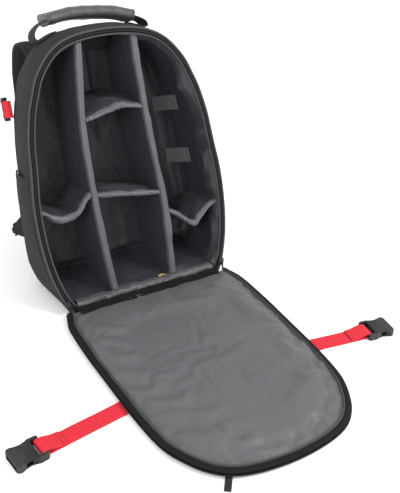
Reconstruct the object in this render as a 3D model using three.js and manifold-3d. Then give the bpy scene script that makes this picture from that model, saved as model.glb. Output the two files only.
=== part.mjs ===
// A camera backpack that stands open: the body leans back on its flat base, the lid lies on the floor in front.
// Millimetres, +Z up. X runs across, the opening faces -Y, and the origin is the middle of the base.
import * as THREE from "three";
import Module from "manifold-3d";

const wasm = await Module();
wasm.setup();

// Body sizes
const LEAN = THREE.MathUtils.degToRad(18.4);
const OPEN_HALF = 154.5;
const OPEN_HEIGHT = 394;
const DEPTH = 118;
const WALL = 9;
const HINGE_RISE = 4;
const HINGE_Y = -62;
const GAP = 0.35;
const SEAT = 0.15;
const BASE_CORNER = 50;
const REAR_ROUND = 28;
const BASE_FLARE = 9;
const BAND_START = 1.5;

// How finely the forms are cut
const RING_POINTS = 54;
const BASE_POINTS = 8;
const STRAP_STEPS = 22;

// Lid sizes
const LID_HALF = 147.5;
const LID_LENGTH = 394;
const LID_START = 6;
const LID_EDGE = 8;
const LID_CROWN = 14;
const LID_LIFT = 2.2;
const LID_PIPING_INSET = 9.4;

// Trim sizes
const PIPING = 3.2;
const ZIP_WIDTH = 4.6;
const ZIP_THICK = 1.8;
const WEB_WIDTH = 25;
const WEB_THICK = 1.4;

// Divider and shelf sizes
const DIVIDER_THICK = 11;
const DIVIDER_RECESS = 3;
const SHELF_RECESS = 5;

// Padded lip and hinge cloth
const LIP_HALF = 116;
const LIP_TOP = 13;
const LIP_FRONT = 2.8;
const LIP_DEPTH = 17;
const HINGE_HALF = 115;
const HINGE_REACH = 19.4;
const HINGE_TOP = 11.4;

// Small cloth tag on the lip, and the webbing bands in the right column with their reach on wall and back
const TAG = { wide: 11, deep: 7, thick: 0.8, across: 30, depth: 9 };
const LOOP_TAB = { wall: 42, back: 23, upper: 0.69, lower: 0.467, wallDepth: 0.644 };

// Buckles
const SOCKET_LENGTH = 41;
const SOCKET_HALF = 17.5;
const PLUG_LENGTH = 40;
const BUCKLE_THICK = 10;
const SLOT_HALF = WEB_WIDTH / 2 + 0.8;
const SLOT_NEAR = 4.2;
const SLOT_LENGTH = 7;
const BAR_HALF = 2;

// Handle
const HANDLE_DEPTH = 60;
const HANDLE_WIDTH = 34;
const HANDLE_THICK = 1.8;
const HANDLE_SHIFT = -3.5;
const HANDLE_TILT = -0.04;
const GRIP_HALF = 68;
const GRIP_WIDE = 39;
const GRIP_THICK = 22;
const GRIP_LIFT = 28;
const GRIP_RISE = OPEN_HEIGHT + GRIP_LIFT;

// Side pocket, shoulder straps with their wings, side straps, zip sliders and the lid's pull
const POCKET = { front: 8, back: 88, low: 52, high: 204, thick: 1.5, bulge: 4.5 };
const STRAP_WIDTH = 60;
const STRAP_THICK = 12;
const STRAP_BOW = 41;
const WING = {
  root: 148.8, depth: 98, low: 106, high: 138,
  reach: 161.5, tipDepth: 114, tip: 117, thick: 2,
};
const SIDE_STRAP = { rise: 300, root: 74, run: 36, turn: -0.13, fold: 24 };
const SLIDER = { long: 11, wide: 7.5, thick: 4, out: 3.9, cord: 2.4 };
const SLIDERS = [
  { name: "left", across: -131, rise: 12, turn: -0.35, fall: 12, sway: -3.9 },
  { name: "right", across: 131, rise: 14, turn: 0.25, fall: 9, sway: 3.9 },
];
const PULL = { wide: 8.5, thick: 2, rise: 1.3, across: -0.563, along: 0.9467, run: 23.6, turn: 2.506 };

// Lid straps on the floor, each with its root under the lid, in shares of the lid's half width and length,
// and its run from there to the buckle's bar
const STRAP_FOLD = 28;
const STRAPS = [
  { name: "left", across: -0.8, along: 0.5431, run: 139.25, turn: 1.7294 },
  { name: "right", across: 0.8271, along: 0.5736, run: 108.84, turn: -1.7276 },
];
const STRAP_LIE = 1.05;
const STRAP_RISES = [
  { along: 0, rise: STRAP_LIE },
  { along: 0.3, rise: STRAP_LIE },
  { along: 0.55, rise: 1.3 },
  { along: 0.8, rise: 1.4 },
  { along: 1, rise: 1.6 },
];

// Opening edge, bottom corner to top centre, in shares of the opening's height and half width
const OPENING = [
  { rise: 0.0, half: 0.82 },
  { rise: 0.028, half: 0.865 },
  { rise: 0.06, half: 0.9 },
  { rise: 0.14, half: 0.955 },
  { rise: 0.225, half: 0.987 },
  { rise: 0.3, half: 0.999 },
  { rise: 0.37, half: 1.0 },
  { rise: 0.44, half: 0.99 },
  { rise: 0.51, half: 0.968 },
  { rise: 0.58, half: 0.95 },
  { rise: 0.65, half: 0.929 },
  { rise: 0.74, half: 0.878 },
  { rise: 0.8, half: 0.823 },
  { rise: 0.86, half: 0.757 },
  { rise: 0.916, half: 0.652 },
  { rise: 0.952, half: 0.55 },
  { rise: 0.977, half: 0.425 },
  { rise: 0.993, half: 0.25 },
  { rise: 1.0, half: 0.0 },
];

// Lid edge, hinge corner to the far end of its arch, in shares of the lid's length and half width
const LID_EDGE_LINE = [
  { rise: 0.0, half: 0.935 },
  { rise: 0.03, half: 0.955 },
  { rise: 0.08, half: 0.99 },
  { rise: 0.15, half: 1.0 },
  { rise: 0.27, half: 1.0 },
  { rise: 0.4, half: 0.988 },
  { rise: 0.5, half: 0.978 },
  { rise: 0.6, half: 0.966 },
  { rise: 0.7, half: 0.943 },
  { rise: 0.77, half: 0.912 },
  { rise: 0.83, half: 0.852 },
  { rise: 0.9, half: 0.742 },
  { rise: 0.95, half: 0.605 },
  { rise: 0.978, half: 0.445 },
  { rise: 0.994, half: 0.24 },
  { rise: 1.0, half: 0.0 },
];

// Body skin from the opening to the back: depth as a share of DEPTH, then the outward growth of the sides and
// the top and the lift of the base at the rounded rear edge, as shares of REAR_ROUND
const SKIN = [
  { depth: 0.0, side: 0, top: 0, base: 0 },
  { depth: 0.05, side: 0.014, top: 0.089, base: 0 },
  { depth: 0.14, side: 0.029, top: 0.268, base: 0 },
  { depth: 0.3, side: 0.036, top: 0.393, base: 0 },
  { depth: 0.66, side: 0, top: 0.393, base: 0 },
  { depth: 0.81, side: -0.143, top: 0.268, base: 0 },
  { depth: 0.91, side: -0.321, top: 0, base: 0 },
  { depth: 0.965, side: -0.607, top: -0.393, base: 0.071 },
  { depth: 1.0, side: -1, top: -0.929, base: 0.25 },
];

// Inside of the body, in the same terms
const LINING = [
  { depth: 0.0, side: 0, top: 0 },
  { depth: 0.3, side: 0.018, top: 0.214 },
  { depth: 0.66, side: -0.018, top: 0.214 },
  { depth: 0.8, side: -0.179, top: 0.107 },
  { depth: 0.88, side: -0.429, top: -0.214 },
  { depth: 0.924, side: -0.821, top: -0.643 },
];

// Front edges of the two dividers, up the opening: shares of its height and of its half width
const DIVIDER_LEFT = [
  { rise: -0.05, across: -0.324 },
  { rise: 0.015, across: -0.327 },
  { rise: 0.2, across: -0.359 },
  { rise: 0.4, across: -0.379 },
  { rise: 0.66, across: -0.375 },
  { rise: 0.85, across: -0.324 },
  { rise: 1.03, across: -0.265 },
];
const DIVIDER_RIGHT = [
  { rise: -0.05, across: 0.307 },
  { rise: 0.015, across: 0.314 },
  { rise: 0.18, across: 0.333 },
  { rise: 0.335, across: 0.34 },
  { rise: 0.61, across: 0.291 },
  { rise: 0.85, across: 0.272 },
  { rise: 1.03, across: 0.272 },
];

// Shelves: thickness, rise towards the back, and front edge in shares of the opening's half width and height
const SHELVES = {
  shelf_centre_upper: {
    thick: 7.5,
    pitch: 0.22,
    front: [
      { across: -0.401, rise: 0.695 },
      { across: -0.285, rise: 0.7 },
      { across: -0.104, rise: 0.718 },
      { across: 0.013, rise: 0.731 },
      { across: 0.142, rise: 0.723 },
      { across: 0.298, rise: 0.711 },
      { across: 0.337, rise: 0.708 },
    ],
  },
  shelf_centre_lower: {
    thick: 8,
    pitch: 0.03,
    front: [
      { across: -0.401, rise: 0.421 },
      { across: -0.298, rise: 0.416 },
      { across: -0.104, rise: 0.404 },
      { across: 0.104, rise: 0.391 },
      { across: 0.272, rise: 0.381 },
      { across: 0.35, rise: 0.376 },
    ],
  },
  shelf_left: {
    thick: 9,
    pitch: 0.06,
    front: [
      { across: -1.1, rise: 0.411 },
      { across: -0.913, rise: 0.398 },
      { across: -0.79, rise: 0.371 },
      { across: -0.673, rise: 0.355 },
      { across: -0.557, rise: 0.373 },
      { across: -0.44, rise: 0.421 },
      { across: -0.337, rise: 0.447 },
    ],
  },
  shelf_right: {
    thick: 8,
    pitch: 0.08,
    front: [
      { across: 0.311, rise: 0.307 },
      { across: 0.427, rise: 0.287 },
      { across: 0.544, rise: 0.249 },
      { across: 0.634, rise: 0.223 },
      { across: 0.738, rise: 0.249 },
      { across: 0.848, rise: 0.282 },
      { across: 1.087, rise: 0.31 },
    ],
  },
};

// Growth of the sides behind the opening, as a share of BASE_FLARE, by share of the opening's height
const FLARE = [
  { rise: 0, side: 1 },
  { rise: 0.08, side: 0.944 },
  { rise: 0.16, side: 0.556 },
  { rise: 0.27, side: -0.056 },
  { rise: 0.4, side: -0.444 },
  { rise: 0.7, side: -0.444 },
  { rise: 0.88, side: 0 },
];

// Section of the lid, from under its middle out to its edge and back over its lining
const crownRise = (share) => LID_EDGE + (LID_CROWN - LID_EDGE) * share;
const LID_PROFILE = [
  { inset: 0.814, height: 0 },
  { inset: 0.231, height: 0 },
  { inset: 0.19, height: LID_LIFT },
  { inset: 0.034, height: LID_LIFT },
  { inset: 0.034, height: LID_EDGE * 0.9 },
  { inset: 0.042, height: crownRise(0) },
  { inset: 0.088, height: crownRise(0.25) },
  { inset: 0.176, height: crownRise(0.75) },
  { inset: 0.407, height: crownRise(1) },
  { inset: 0.814, height: crownRise(1) },
];

// Section of the hinge cloth, in shares of its reach and its height
const HINGE_LINE = [
  { reach: 0.067, rise: 0.921 },
  { reach: 0.149, rise: 0.509 },
  { reach: 0.278, rise: 0.456 },
  { reach: 0.567, rise: 0.737 },
  { reach: 1, rise: 0.886 },
  { reach: 0.99, rise: 1 },
  { reach: 0.557, rise: 0.86 },
  { reach: 0.289, rise: 0.596 },
  { reach: 0.216, rise: 0.632 },
  { reach: 0.139, rise: 0.965 },
];

// Route of a webbing band from the back wall round to the side wall, in shares of its reach on each
const LOOP_TAB_LINE = [
  { back: 1, wall: 0 },
  { back: 0.739, wall: 0.071 },
  { back: 0.457, wall: 0.214 },
  { back: 0.261, wall: 0.405 },
  { back: 0.113, wall: 0.595 },
  { back: 0.013, wall: 0.833 },
  { back: 0, wall: 1 },
];

// Buckle socket in plan from its webbing end, and a prong of its plug, in shares of length and half width
const SOCKET_PLAN = [
  { along: 0.0, half: 0.9 },
  { along: 0.05, half: 0.98 },
  { along: 0.3, half: 1.0 },
  { along: 0.4, half: 0.9 },
  { along: 0.56, half: 0.82 },
  { along: 0.72, half: 0.88 },
  { along: 0.84, half: 0.99 },
  { along: 0.95, half: 0.96 },
  { along: 1.0, half: 0.78 },
];
const PRONG_PLAN = [
  { along: 0.35, half: 0.514 },
  { along: 0.35, half: 0.714 },
  { along: 0.6, half: 0.823 },
  { along: 0.675, half: 0.949 },
  { along: 0.825, half: 0.891 },
  { along: 1, half: 0.686 },
  { along: 1, half: 0.549 },
  { along: 0.75, half: 0.594 },
];

// Half of the handle: across as a share of GRIP_HALF, drop below the grip's top as a share of GRIP_LIFT
const HANDLE_LINE = [
  { across: 0.441, drop: 0.05 },
  { across: 0.882, drop: 0.232 },
  { across: 1.088, drop: 0.393 },
  { across: 1.265, drop: 0.679 },
  { across: 1.309, drop: 1 },
];

// Where the handle's webbing lies on the body, from its bend inwards: share of GRIP_HALF, height over seam
const HANDLE_SEAM = [
  { across: 1.221, over: 2.2 },
  { across: 1.118, over: 0.3 },
  { across: 0.971, over: 0 },
  { across: 0.824, over: 0 },
];

// Shoulder strap: shares of the opening's half width and height, and of the strap's bow behind the back
const STRAP_LINE = [
  { across: 0.298, bow: 0, rise: 0.807 },
  { across: 0.311, bow: 0, rise: 0.876 },
  { across: 0.356, bow: 0.073, rise: 0.944 },
  { across: 0.401, bow: 0.366, rise: 0.987 },
  { across: 0.434, bow: 0.707, rise: 0.975 },
  { across: 0.466, bow: 0.902, rise: 0.906 },
  { across: 0.492, bow: 1, rise: 0.792 },
  { across: 0.524, bow: 0.951, rise: 0.635 },
  { across: 0.557, bow: 0.78, rise: 0.482 },
];

// Finishes
const FINISH = {
  outerCloth: { color: 0x3d3e3b, roughness: 0.82 },
  lining: { color: 0x2c2c31, roughness: 0.48 },
  lidLining: { color: 0x55555a, roughness: 0.5 },
  piping: { color: 0x4a4a4b, roughness: 0.7 },
  zip: { color: 0x121213, roughness: 0.6 },
  redWeb: { color: 0xe8353f, roughness: 0.75 },
  darkWeb: { color: 0x232422, roughness: 0.8 },
  greyWeb: { color: 0x47474a, roughness: 0.8 },
  plastic: { color: 0x1e1f20, roughness: 0.42 },
  tag: { color: 0xcdb676, roughness: 0.7 },
};

const vec = (x, y, z) => new THREE.Vector3(x, y, z);
const FLOOR_SLOPE = Math.tan(LEAN);
const FLOOR_PAD = 1.05;
const floorRise = (depth) => depth * FLOOR_SLOPE - HINGE_RISE / Math.cos(LEAN);

// Value of one column of a table at a key, by straight lines between rows
function tabled(rows, key, column, at) {
  if (at <= rows[0][key]) return rows[0][column];
  for (let i = 1; i < rows.length; i += 1) {
    if (at > rows[i][key]) continue;
    const share = (at - rows[i - 1][key]) / (rows[i][key] - rows[i - 1][key]);
    return THREE.MathUtils.lerp(rows[i - 1][column], rows[i][column], share);
  }
  return rows[rows.length - 1][column];
}

// Smooth line through table rows as evenly spaced points
function smoothRows(rows, x, y, count) {
  const points = rows.map((row) => new THREE.Vector2(row[x], row[y]));
  return new THREE.SplineCurve(points).getSpacedPoints(count);
}

// Arch-shaped edge as share points, from the right corner over the top to the left corner
function archEdge(rows, half, height) {
  const right = rows.map((row) => new THREE.Vector2(row.half * half, row.rise * height));
  const left = right.slice(0, -1).reverse().map((p) => new THREE.Vector2(-p.x, p.y));
  const points = new THREE.SplineCurve([...right, ...left]).getSpacedPoints(RING_POINTS);
  return points.map((p) => new THREE.Vector2(p.x / half, Math.max(0, p.y / height)));
}

// The same edge closed along its base
function closedEdge(edge) {
  const [first, last] = [edge[0], edge[edge.length - 1]];
  const base = [];
  for (let i = 1; i < BASE_POINTS; i += 1) base.push(last.clone().lerp(first, i / BASE_POINTS));
  return [...edge, ...base];
}

const OPEN_EDGE = archEdge(OPENING, OPEN_HALF, OPEN_HEIGHT);
const LID_SHAPE = archEdge(LID_EDGE_LINE, LID_HALF, LID_LENGTH);

// Geometry from points and triangles, turned so that its faces point out
function geometry(points, triangles) {
  let volume = 0;
  const cross = new THREE.Vector3();
  for (const [a, b, c] of triangles) volume += points[a].dot(cross.crossVectors(points[b], points[c]));
  const turned = volume < 0 ? triangles.map(([a, b, c]) => [a, c, b]) : triangles;
  const made = new THREE.BufferGeometry();
  made.setAttribute("position", new THREE.Float32BufferAttribute(points.flatMap((p) => p.toArray()), 3));
  made.setIndex(turned.flat());
  made.computeVertexNormals();
  return made;
}

// Quads between neighbouring loops of the same length
function bandTriangles(loops, size, closed) {
  const triangles = [];
  const last = closed ? loops : loops - 1;
  for (let i = 0; i < last; i += 1) {
    const next = (i + 1) % loops;
    for (let j = 0; j < size; j += 1) {
      const k = (j + 1) % size;
      triangles.push([i * size + j, i * size + k, next * size + k]);
      triangles.push([i * size + j, next * size + k, next * size + j]);
    }
  }
  return triangles;
}

// Solid through a row of loops, closed at both ends by a fan about the middle of the end loop
function loftFan(loops) {
  const size = loops[0].length;
  const points = loops.flat();
  const triangles = bandTriangles(loops.length, size, false);
  const middle = (loop) => loop.reduce((sum, p) => sum.add(p), vec(0, 0, 0)).divideScalar(size);
  points.push(middle(loops[0]), middle(loops[loops.length - 1]));
  const start = (loops.length - 1) * size;
  for (let j = 0; j < size; j += 1) {
    const k = (j + 1) % size;
    triangles.push([points.length - 2, k, j]);
    triangles.push([points.length - 1, start + j, start + k]);
  }
  return geometry(points, triangles);
}

// Solid through a row of loops that share one flat profile, which also closes the ends
function loftProfile(loops, profile) {
  const size = profile.length;
  const triangles = bandTriangles(loops.length, size, false);
  const start = (loops.length - 1) * size;
  for (const [a, b, c] of THREE.ShapeUtils.triangulateShape(profile, [])) {
    const turn = THREE.ShapeUtils.isClockWise(profile) ? 1 : 0;
    triangles.push(turn ? [a, b, c] : [c, b, a]);
    triangles.push(turn ? [start + c, start + b, start + a] : [start + a, start + b, start + c]);
  }
  return geometry(loops.flat(), triangles);
}

// Direction of a row of points at one of them
function heading(path, i) {
  return path[Math.min(i + 1, path.length - 1)].clone().sub(path[Math.max(i - 1, 0)]).normalize();
}

// Solid along a path: each profile point is (along the across direction, along the face direction)
function sweep(path, across, profile) {
  const loops = path.map((point, i) => {
    const along = heading(path, i);
    const side = (typeof across === "function" ? across(i / (path.length - 1)) : across).clone();
    side.addScaledVector(along, -side.dot(along)).normalize();
    const face = new THREE.Vector3().crossVectors(along, side);
    const place = (p) => point.clone().addScaledVector(side, p.x).addScaledVector(face, p.y);
    return profile(i / (path.length - 1)).map(place);
  });
  return loftProfile(loops, profile(0));
}

// Flat strip profile
const flat = (width, thick) => () => [
  new THREE.Vector2(-width / 2, -thick / 2),
  new THREE.Vector2(width / 2, -thick / 2),
  new THREE.Vector2(width / 2, thick / 2),
  new THREE.Vector2(-width / 2, thick / 2),
];

// Rounded pad profile, squarer than an ellipse
function pad(width, thick, count) {
  const power = 0.62;
  const points = [];
  for (let i = 0; i < count; i += 1) {
    const turn = (i / count) * Math.PI * 2;
    const [c, s] = [Math.cos(turn), Math.sin(turn)];
    const grow = (v) => Math.sign(v) * Math.abs(v) ** power;
    points.push(new THREE.Vector2((grow(c) * width) / 2, (grow(s) * thick) / 2));
  }
  return points;
}

// Smooth path through points
function smooth(points, count) {
  return new THREE.CatmullRomCurve3(points, false, "centripetal").getSpacedPoints(count);
}

// Joining and cutting
function toManifold(made) {
  return new wasm.Manifold(
    new wasm.Mesh({
      numProp: 3,
      vertProperties: new Float32Array(made.getAttribute("position").array),
      triVerts: new Uint32Array(made.getIndex().array),
    }),
  );
}
function fromManifold(body) {
  const mesh = body.getMesh();
  const made = new THREE.BufferGeometry();
  made.setAttribute("position", new THREE.BufferAttribute(new Float32Array(mesh.vertProperties), 3));
  made.setIndex(Array.from(mesh.triVerts));
  made.computeVertexNormals();
  return made;
}

// Half width of a body section, as a share: the opening's line, drawn in to the base's corners at the floor
const EDGE_ROWS = OPEN_EDGE.slice(0, RING_POINTS / 2 + 1).map((p) => ({ rise: p.y, half: p.x }));
function sectionShare(rise, floor, top) {
  const held = tabled(EDGE_ROWS, "rise", "half", (rise - floor) / (top - floor));
  const free = tabled(EDGE_ROWS, "rise", "half", rise / top);
  return THREE.MathUtils.lerp(held, free, THREE.MathUtils.smoothstep(rise - floor, 0, BASE_CORNER));
}

// Growth of the sides at a depth and a rise
function flare(depth, rise) {
  const grown = THREE.MathUtils.smoothstep(depth, DEPTH * 0.05, DEPTH * 0.75);
  return tabled(FLARE, "rise", "side", rise / OPEN_HEIGHT) * BASE_FLARE * grown;
}

// Loop of the body's skin or lining at a depth, in body coordinates: x across, y deep, z up the lean
function bodyLoop(depth, side, top, base) {
  const floor = floorRise(depth) + base;
  const height = OPEN_HEIGHT + top;
  return closedEdge(OPEN_EDGE).map((p) => {
    const rise = floor + p.y * (height - floor);
    const share = p.y > 0 ? Math.sign(p.x) * sectionShare(rise, floor, height) : p.x;
    const half = OPEN_HALF + side + flare(depth, rise);
    return vec((Math.abs(p.x) < 1e-6 ? 0 : share) * half, depth, rise);
  });
}

const skinLoops = SKIN.map((row) => {
  const [side, top, base] = [row.side, row.top, row.base].map((share) => share * REAR_ROUND);
  return bodyLoop(row.depth * DEPTH, side, top, base);
});
function liningLoops(extra, start) {
  const inset = WALL + extra;
  return LINING.map((row, i) => {
    const depth = i === 0 ? start : row.depth * DEPTH - extra;
    const [side, top] = [row.side * REAR_ROUND, row.top * REAR_ROUND];
    return bodyLoop(depth, side - inset, top - inset, inset * FLOOR_PAD + Math.max(0, -side) * 0.4);
  });
}

// Half width of the body's skin at a depth and a rise
function skinHalf(depth, rise) {
  const share = depth / DEPTH;
  const side = tabled(SKIN, "depth", "side", share) * REAR_ROUND;
  const top = OPEN_HEIGHT + tabled(SKIN, "depth", "top", share) * REAR_ROUND;
  const floor = floorRise(depth) + tabled(SKIN, "depth", "base", share) * REAR_ROUND;
  return sectionShare(rise, floor, top) * (OPEN_HALF + side + flare(depth, rise));
}

// Half width of the inside at a depth and a rise
function liningHalf(depth, rise) {
  const share = depth / DEPTH;
  const side = tabled(LINING, "depth", "side", share) * REAR_ROUND - WALL;
  const top = OPEN_HEIGHT + tabled(LINING, "depth", "top", share) * REAR_ROUND - WALL;
  const floor = floorRise(depth) + WALL * FLOOR_PAD;
  return sectionShare(rise, floor, top) * (OPEN_HALF + side + flare(depth, rise));
}

// Rise of the body's top at a depth and a place across
function skinTop(depth, across) {
  const share = depth / DEPTH;
  const half = OPEN_HALF + tabled(SKIN, "depth", "side", share) * REAR_ROUND + flare(depth, OPEN_HEIGHT);
  const top = OPEN_HEIGHT + tabled(SKIN, "depth", "top", share) * REAR_ROUND;
  const floor = floorRise(depth);
  const upper = OPEN_EDGE.filter((p) => p.x >= 0 && p.y > 0.7).map((p) => {
    const rise = floor + p.y * (top - floor);
    return { across: p.x < 1e-6 ? 0 : sectionShare(rise, floor, top) * half, rise };
  });
  upper.sort((a, b) => a.across - b.across);
  return tabled(upper, "across", "rise", Math.abs(across));
}

const cavity = toManifold(loftFan(liningLoops(GAP + 0.1, -1)));

function bodyShell() {
  return loftFan([...skinLoops.slice().reverse(), ...liningLoops(0, 0)]);
}

// Edge moved inwards by a distance and started a little above the hinge
function insetEdge(edge, half, height, inset) {
  const line = edge.map((p) => new THREE.Vector2(p.x * half, p.y * height));
  return line.map((p, i) => {
    const way = line[Math.min(i + 1, line.length - 1)].clone().sub(line[Math.max(i - 1, 0)]).normalize();
    return new THREE.Vector2(p.x - way.y * inset, p.y + way.x * inset + BAND_START);
  });
}

// Cord or band along the opening's edge
function openingBand(inset, lift, profile) {
  const path = insetEdge(OPEN_EDGE, OPEN_HALF, OPEN_HEIGHT, inset).map((p) => vec(p.x, lift, p.y));
  return sweep(path, vec(0, 1, 0), () => profile);
}

const cordProfile = (size) => pad(size, size, 6);
const bandProfile = (width, thick) => flat(thick, width)();

// Divider block, grown by a clearance, before it is trimmed to the inside
function dividerBlock(rows, grow) {
  const thick = DIVIDER_THICK / 2 + grow;
  const front = DIVIDER_RECESS - grow;
  const profile = [
    new THREE.Vector2(-thick, DEPTH),
    new THREE.Vector2(-thick, front + thick * 0.55),
    new THREE.Vector2(-thick * 0.62, front + thick * 0.12),
    new THREE.Vector2(0, front),
    new THREE.Vector2(thick * 0.62, front + thick * 0.12),
    new THREE.Vector2(thick, front + thick * 0.55),
    new THREE.Vector2(thick, DEPTH),
  ];
  const line = smoothRows(rows, "rise", "across", 18);
  const loops = line.map((p) => profile.map((q) => vec(p.y * OPEN_HALF + q.x, q.y, p.x * OPEN_HEIGHT)));
  return toManifold(loftProfile(loops, profile));
}

// Shelf block between two columns, before it is trimmed
function shelfBlock(row) {
  const half = row.thick / 2;
  const profile = [
    new THREE.Vector2(SHELF_RECESS + half * 0.6, -half),
    new THREE.Vector2(SHELF_RECESS, -half * 0.3),
    new THREE.Vector2(SHELF_RECESS, half * 0.5),
    new THREE.Vector2(SHELF_RECESS + half * 0.7, half),
    new THREE.Vector2(DEPTH, half),
    new THREE.Vector2(DEPTH, -half),
  ];
  const line = smoothRows(row.front, "across", "rise", 14);
  const rise = (p, q) => p.y * OPEN_HEIGHT - half + q.y + (q.x - SHELF_RECESS) * row.pitch;
  const loops = line.map((p) => profile.map((q) => vec(p.x * OPEN_HALF, q.x, rise(p, q))));
  return toManifold(loftProfile(loops, profile));
}

const grownDividers = [dividerBlock(DIVIDER_LEFT, GAP), dividerBlock(DIVIDER_RIGHT, GAP)];
function divider(rows) {
  const trimmed = dividerBlock(rows, 0).intersect(cavity);
  return fromManifold(trimmed.subtract(toManifold(frontLip(GAP))));
}

function shelf(row) {
  let made = shelfBlock(row).intersect(cavity);
  for (const block of grownDividers) made = made.subtract(block);
  const pieces = made.decompose().sort((a, b) => b.volume() - a.volume());
  return fromManifold(pieces[0]);
}

// Padded lip along the hinge, folded over the shell's front edge
function frontLip(grow) {
  const near = -GAP - 0.1;
  const foot = -LIP_TOP * 0.154;
  const floor = (depth) => floorRise(depth) + WALL * FLOOR_PAD - near;
  const profile = [
    new THREE.Vector2(-LIP_FRONT, foot),
    new THREE.Vector2(-LIP_FRONT, LIP_TOP * 0.692 + grow),
    new THREE.Vector2(-LIP_FRONT * 0.357, LIP_TOP * 0.938 + grow),
    new THREE.Vector2(LIP_DEPTH * 0.3, LIP_TOP + grow),
    new THREE.Vector2(LIP_DEPTH * 0.765, LIP_TOP * 0.969 + grow),
    new THREE.Vector2(LIP_DEPTH + grow, floor(LIP_DEPTH) + LIP_TOP * 0.077 + grow),
    new THREE.Vector2(LIP_DEPTH + grow, floor(LIP_DEPTH) - grow * 4),
    new THREE.Vector2(near, floor(-GAP) - grow * 4),
    new THREE.Vector2(near, foot),
  ];
  const loops = [-1, 1].map((share) => profile.map((p) => vec(share * LIP_HALF, p.x, p.y)));
  return loftProfile(loops, profile);
}

// Webbing band across a rear corner of the right column, at a share of the opening's height
function loopTab(share) {
  const rise = share * OPEN_HEIGHT;
  const seat = GAP * 3 + WEB_THICK / 2;
  const wallHalf = (offset) => liningHalf(LOOP_TAB.wallDepth * DEPTH, rise + offset);
  const [low, high] = [wallHalf(-WEB_WIDTH / 2), wallHalf(WEB_WIDTH / 2)];
  const wall = (low + high) / 2 - seat;
  const back = DEPTH * LINING[LINING.length - 1].depth - seat;
  const place = (row) => vec(wall - row.back * LOOP_TAB.back, back - row.wall * LOOP_TAB.wall, rise);
  return sweep(LOOP_TAB_LINE.map(place), vec(high - low, 0, WEB_WIDTH), flat(WEB_WIDTH, WEB_THICK));
}

// Lid, in lid coordinates: x across, y towards the front (negative), z up
function lidLoop(inset, height) {
  const length = LID_LENGTH - LID_START;
  return closedEdge(LID_SHAPE).map((p) => {
    const near = LID_START + Math.min(inset, length * 0.45);
    const reach = length - Math.min(inset * 2, length * 0.9);
    return vec(p.x * (LID_HALF - inset), -(near + p.y * reach), height);
  });
}
const lidPanel = () => loftFan(LID_PROFILE.map((row) => lidLoop(row.inset * LID_HALF, row.height)));

// Cord or band along the lid's edge
function lidBand(inset, height, profile) {
  const edge = insetEdge(LID_SHAPE, LID_HALF, LID_LENGTH - LID_START, inset);
  const path = edge.map((p) => vec(p.x, -(LID_START + p.y), height));
  return sweep(path, vec(0, 0, 1), () => profile);
}

// Hinge cloth from the lip's front down over the lid's near edge
function hingeCloth() {
  const point = (row) => new THREE.Vector2(-row.reach * HINGE_REACH, row.rise * HINGE_TOP);
  const profile = HINGE_LINE.map(point);
  const stations = [-1, -0.5, 0, 0.5, 1];
  const loops = stations.map((share) => profile.map((p) => vec(share * HINGE_HALF, p.x, p.y)));
  return loftProfile(loops, profile);
}

// Plan outline of a buckle's half from a table
function planHalf(rows, length) {
  return rows.map((row) => new THREE.Vector2(row.half * SOCKET_HALF, row.along * length));
}

// Plate of a thickness from its outline
function extruded(shape, thick) {
  const made = new THREE.ExtrudeGeometry(shape, { depth: thick, bevelEnabled: false });
  return toManifold(welded(made));
}

// Points that coincide are made one
function welded(made) {
  const source = made.getAttribute("position");
  const points = [];
  const places = new Map();
  const index = [];
  for (let i = 0; i < source.count; i += 1) {
    const p = new THREE.Vector3().fromBufferAttribute(source, i);
    const key = p.toArray().map((v) => Math.round(v * 1e4)).join(" ");
    if (!places.has(key)) {
      places.set(key, points.length);
      points.push(p);
    }
    index.push(places.get(key));
  }
  const triangles = [];
  for (let i = 0; i < index.length; i += 3) triangles.push([index[i], index[i + 1], index[i + 2]]);
  return geometry(points, triangles);
}
const block = (size, middle) => wasm.Manifold.cube(size, true).translate(middle);
const MIDDLE = BUCKLE_THICK / 2;
const SIDES = SOCKET_HALF * 2;

// The webbing's slot, and the room above and below the bar that it turns round
function barCuts() {
  const wide = SLOT_HALF * 2;
  const away = MIDDLE + BAR_HALF;
  return [
    block([wide, SLOT_LENGTH, BUCKLE_THICK * 2], [0, SLOT_NEAR + SLOT_LENGTH / 2, MIDDLE]),
    block([wide, SLOT_NEAR * 2.2, BUCKLE_THICK], [0, 0, MIDDLE + away]),
    block([wide, SLOT_NEAR * 2.2, BUCKLE_THICK], [0, 0, MIDDLE - away]),
  ];
}

// Buckle socket with its mouth and its side windows
function socket() {
  const right = planHalf(SOCKET_PLAN, SOCKET_LENGTH);
  const left = right.slice().reverse().map((p) => new THREE.Vector2(-p.x, p.y));
  const inner = BUCKLE_THICK * 0.56;
  const mouthLength = SOCKET_LENGTH * 0.57;
  const mouthMiddle = SOCKET_LENGTH * 1.012 - mouthLength / 2;
  const mouth = block([SIDES * 0.78, mouthLength, inner], [0, mouthMiddle, MIDDLE]);
  const window = block([SIDES * 1.5, SOCKET_LENGTH * 0.2, inner], [0, SOCKET_LENGTH * 0.6, MIDDLE]);
  let made = extruded(new THREE.Shape([...right, ...left]), BUCKLE_THICK);
  for (const cut of [...barCuts(), mouth, window]) made = made.subtract(cut);
  return fromManifold(made);
}

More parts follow.
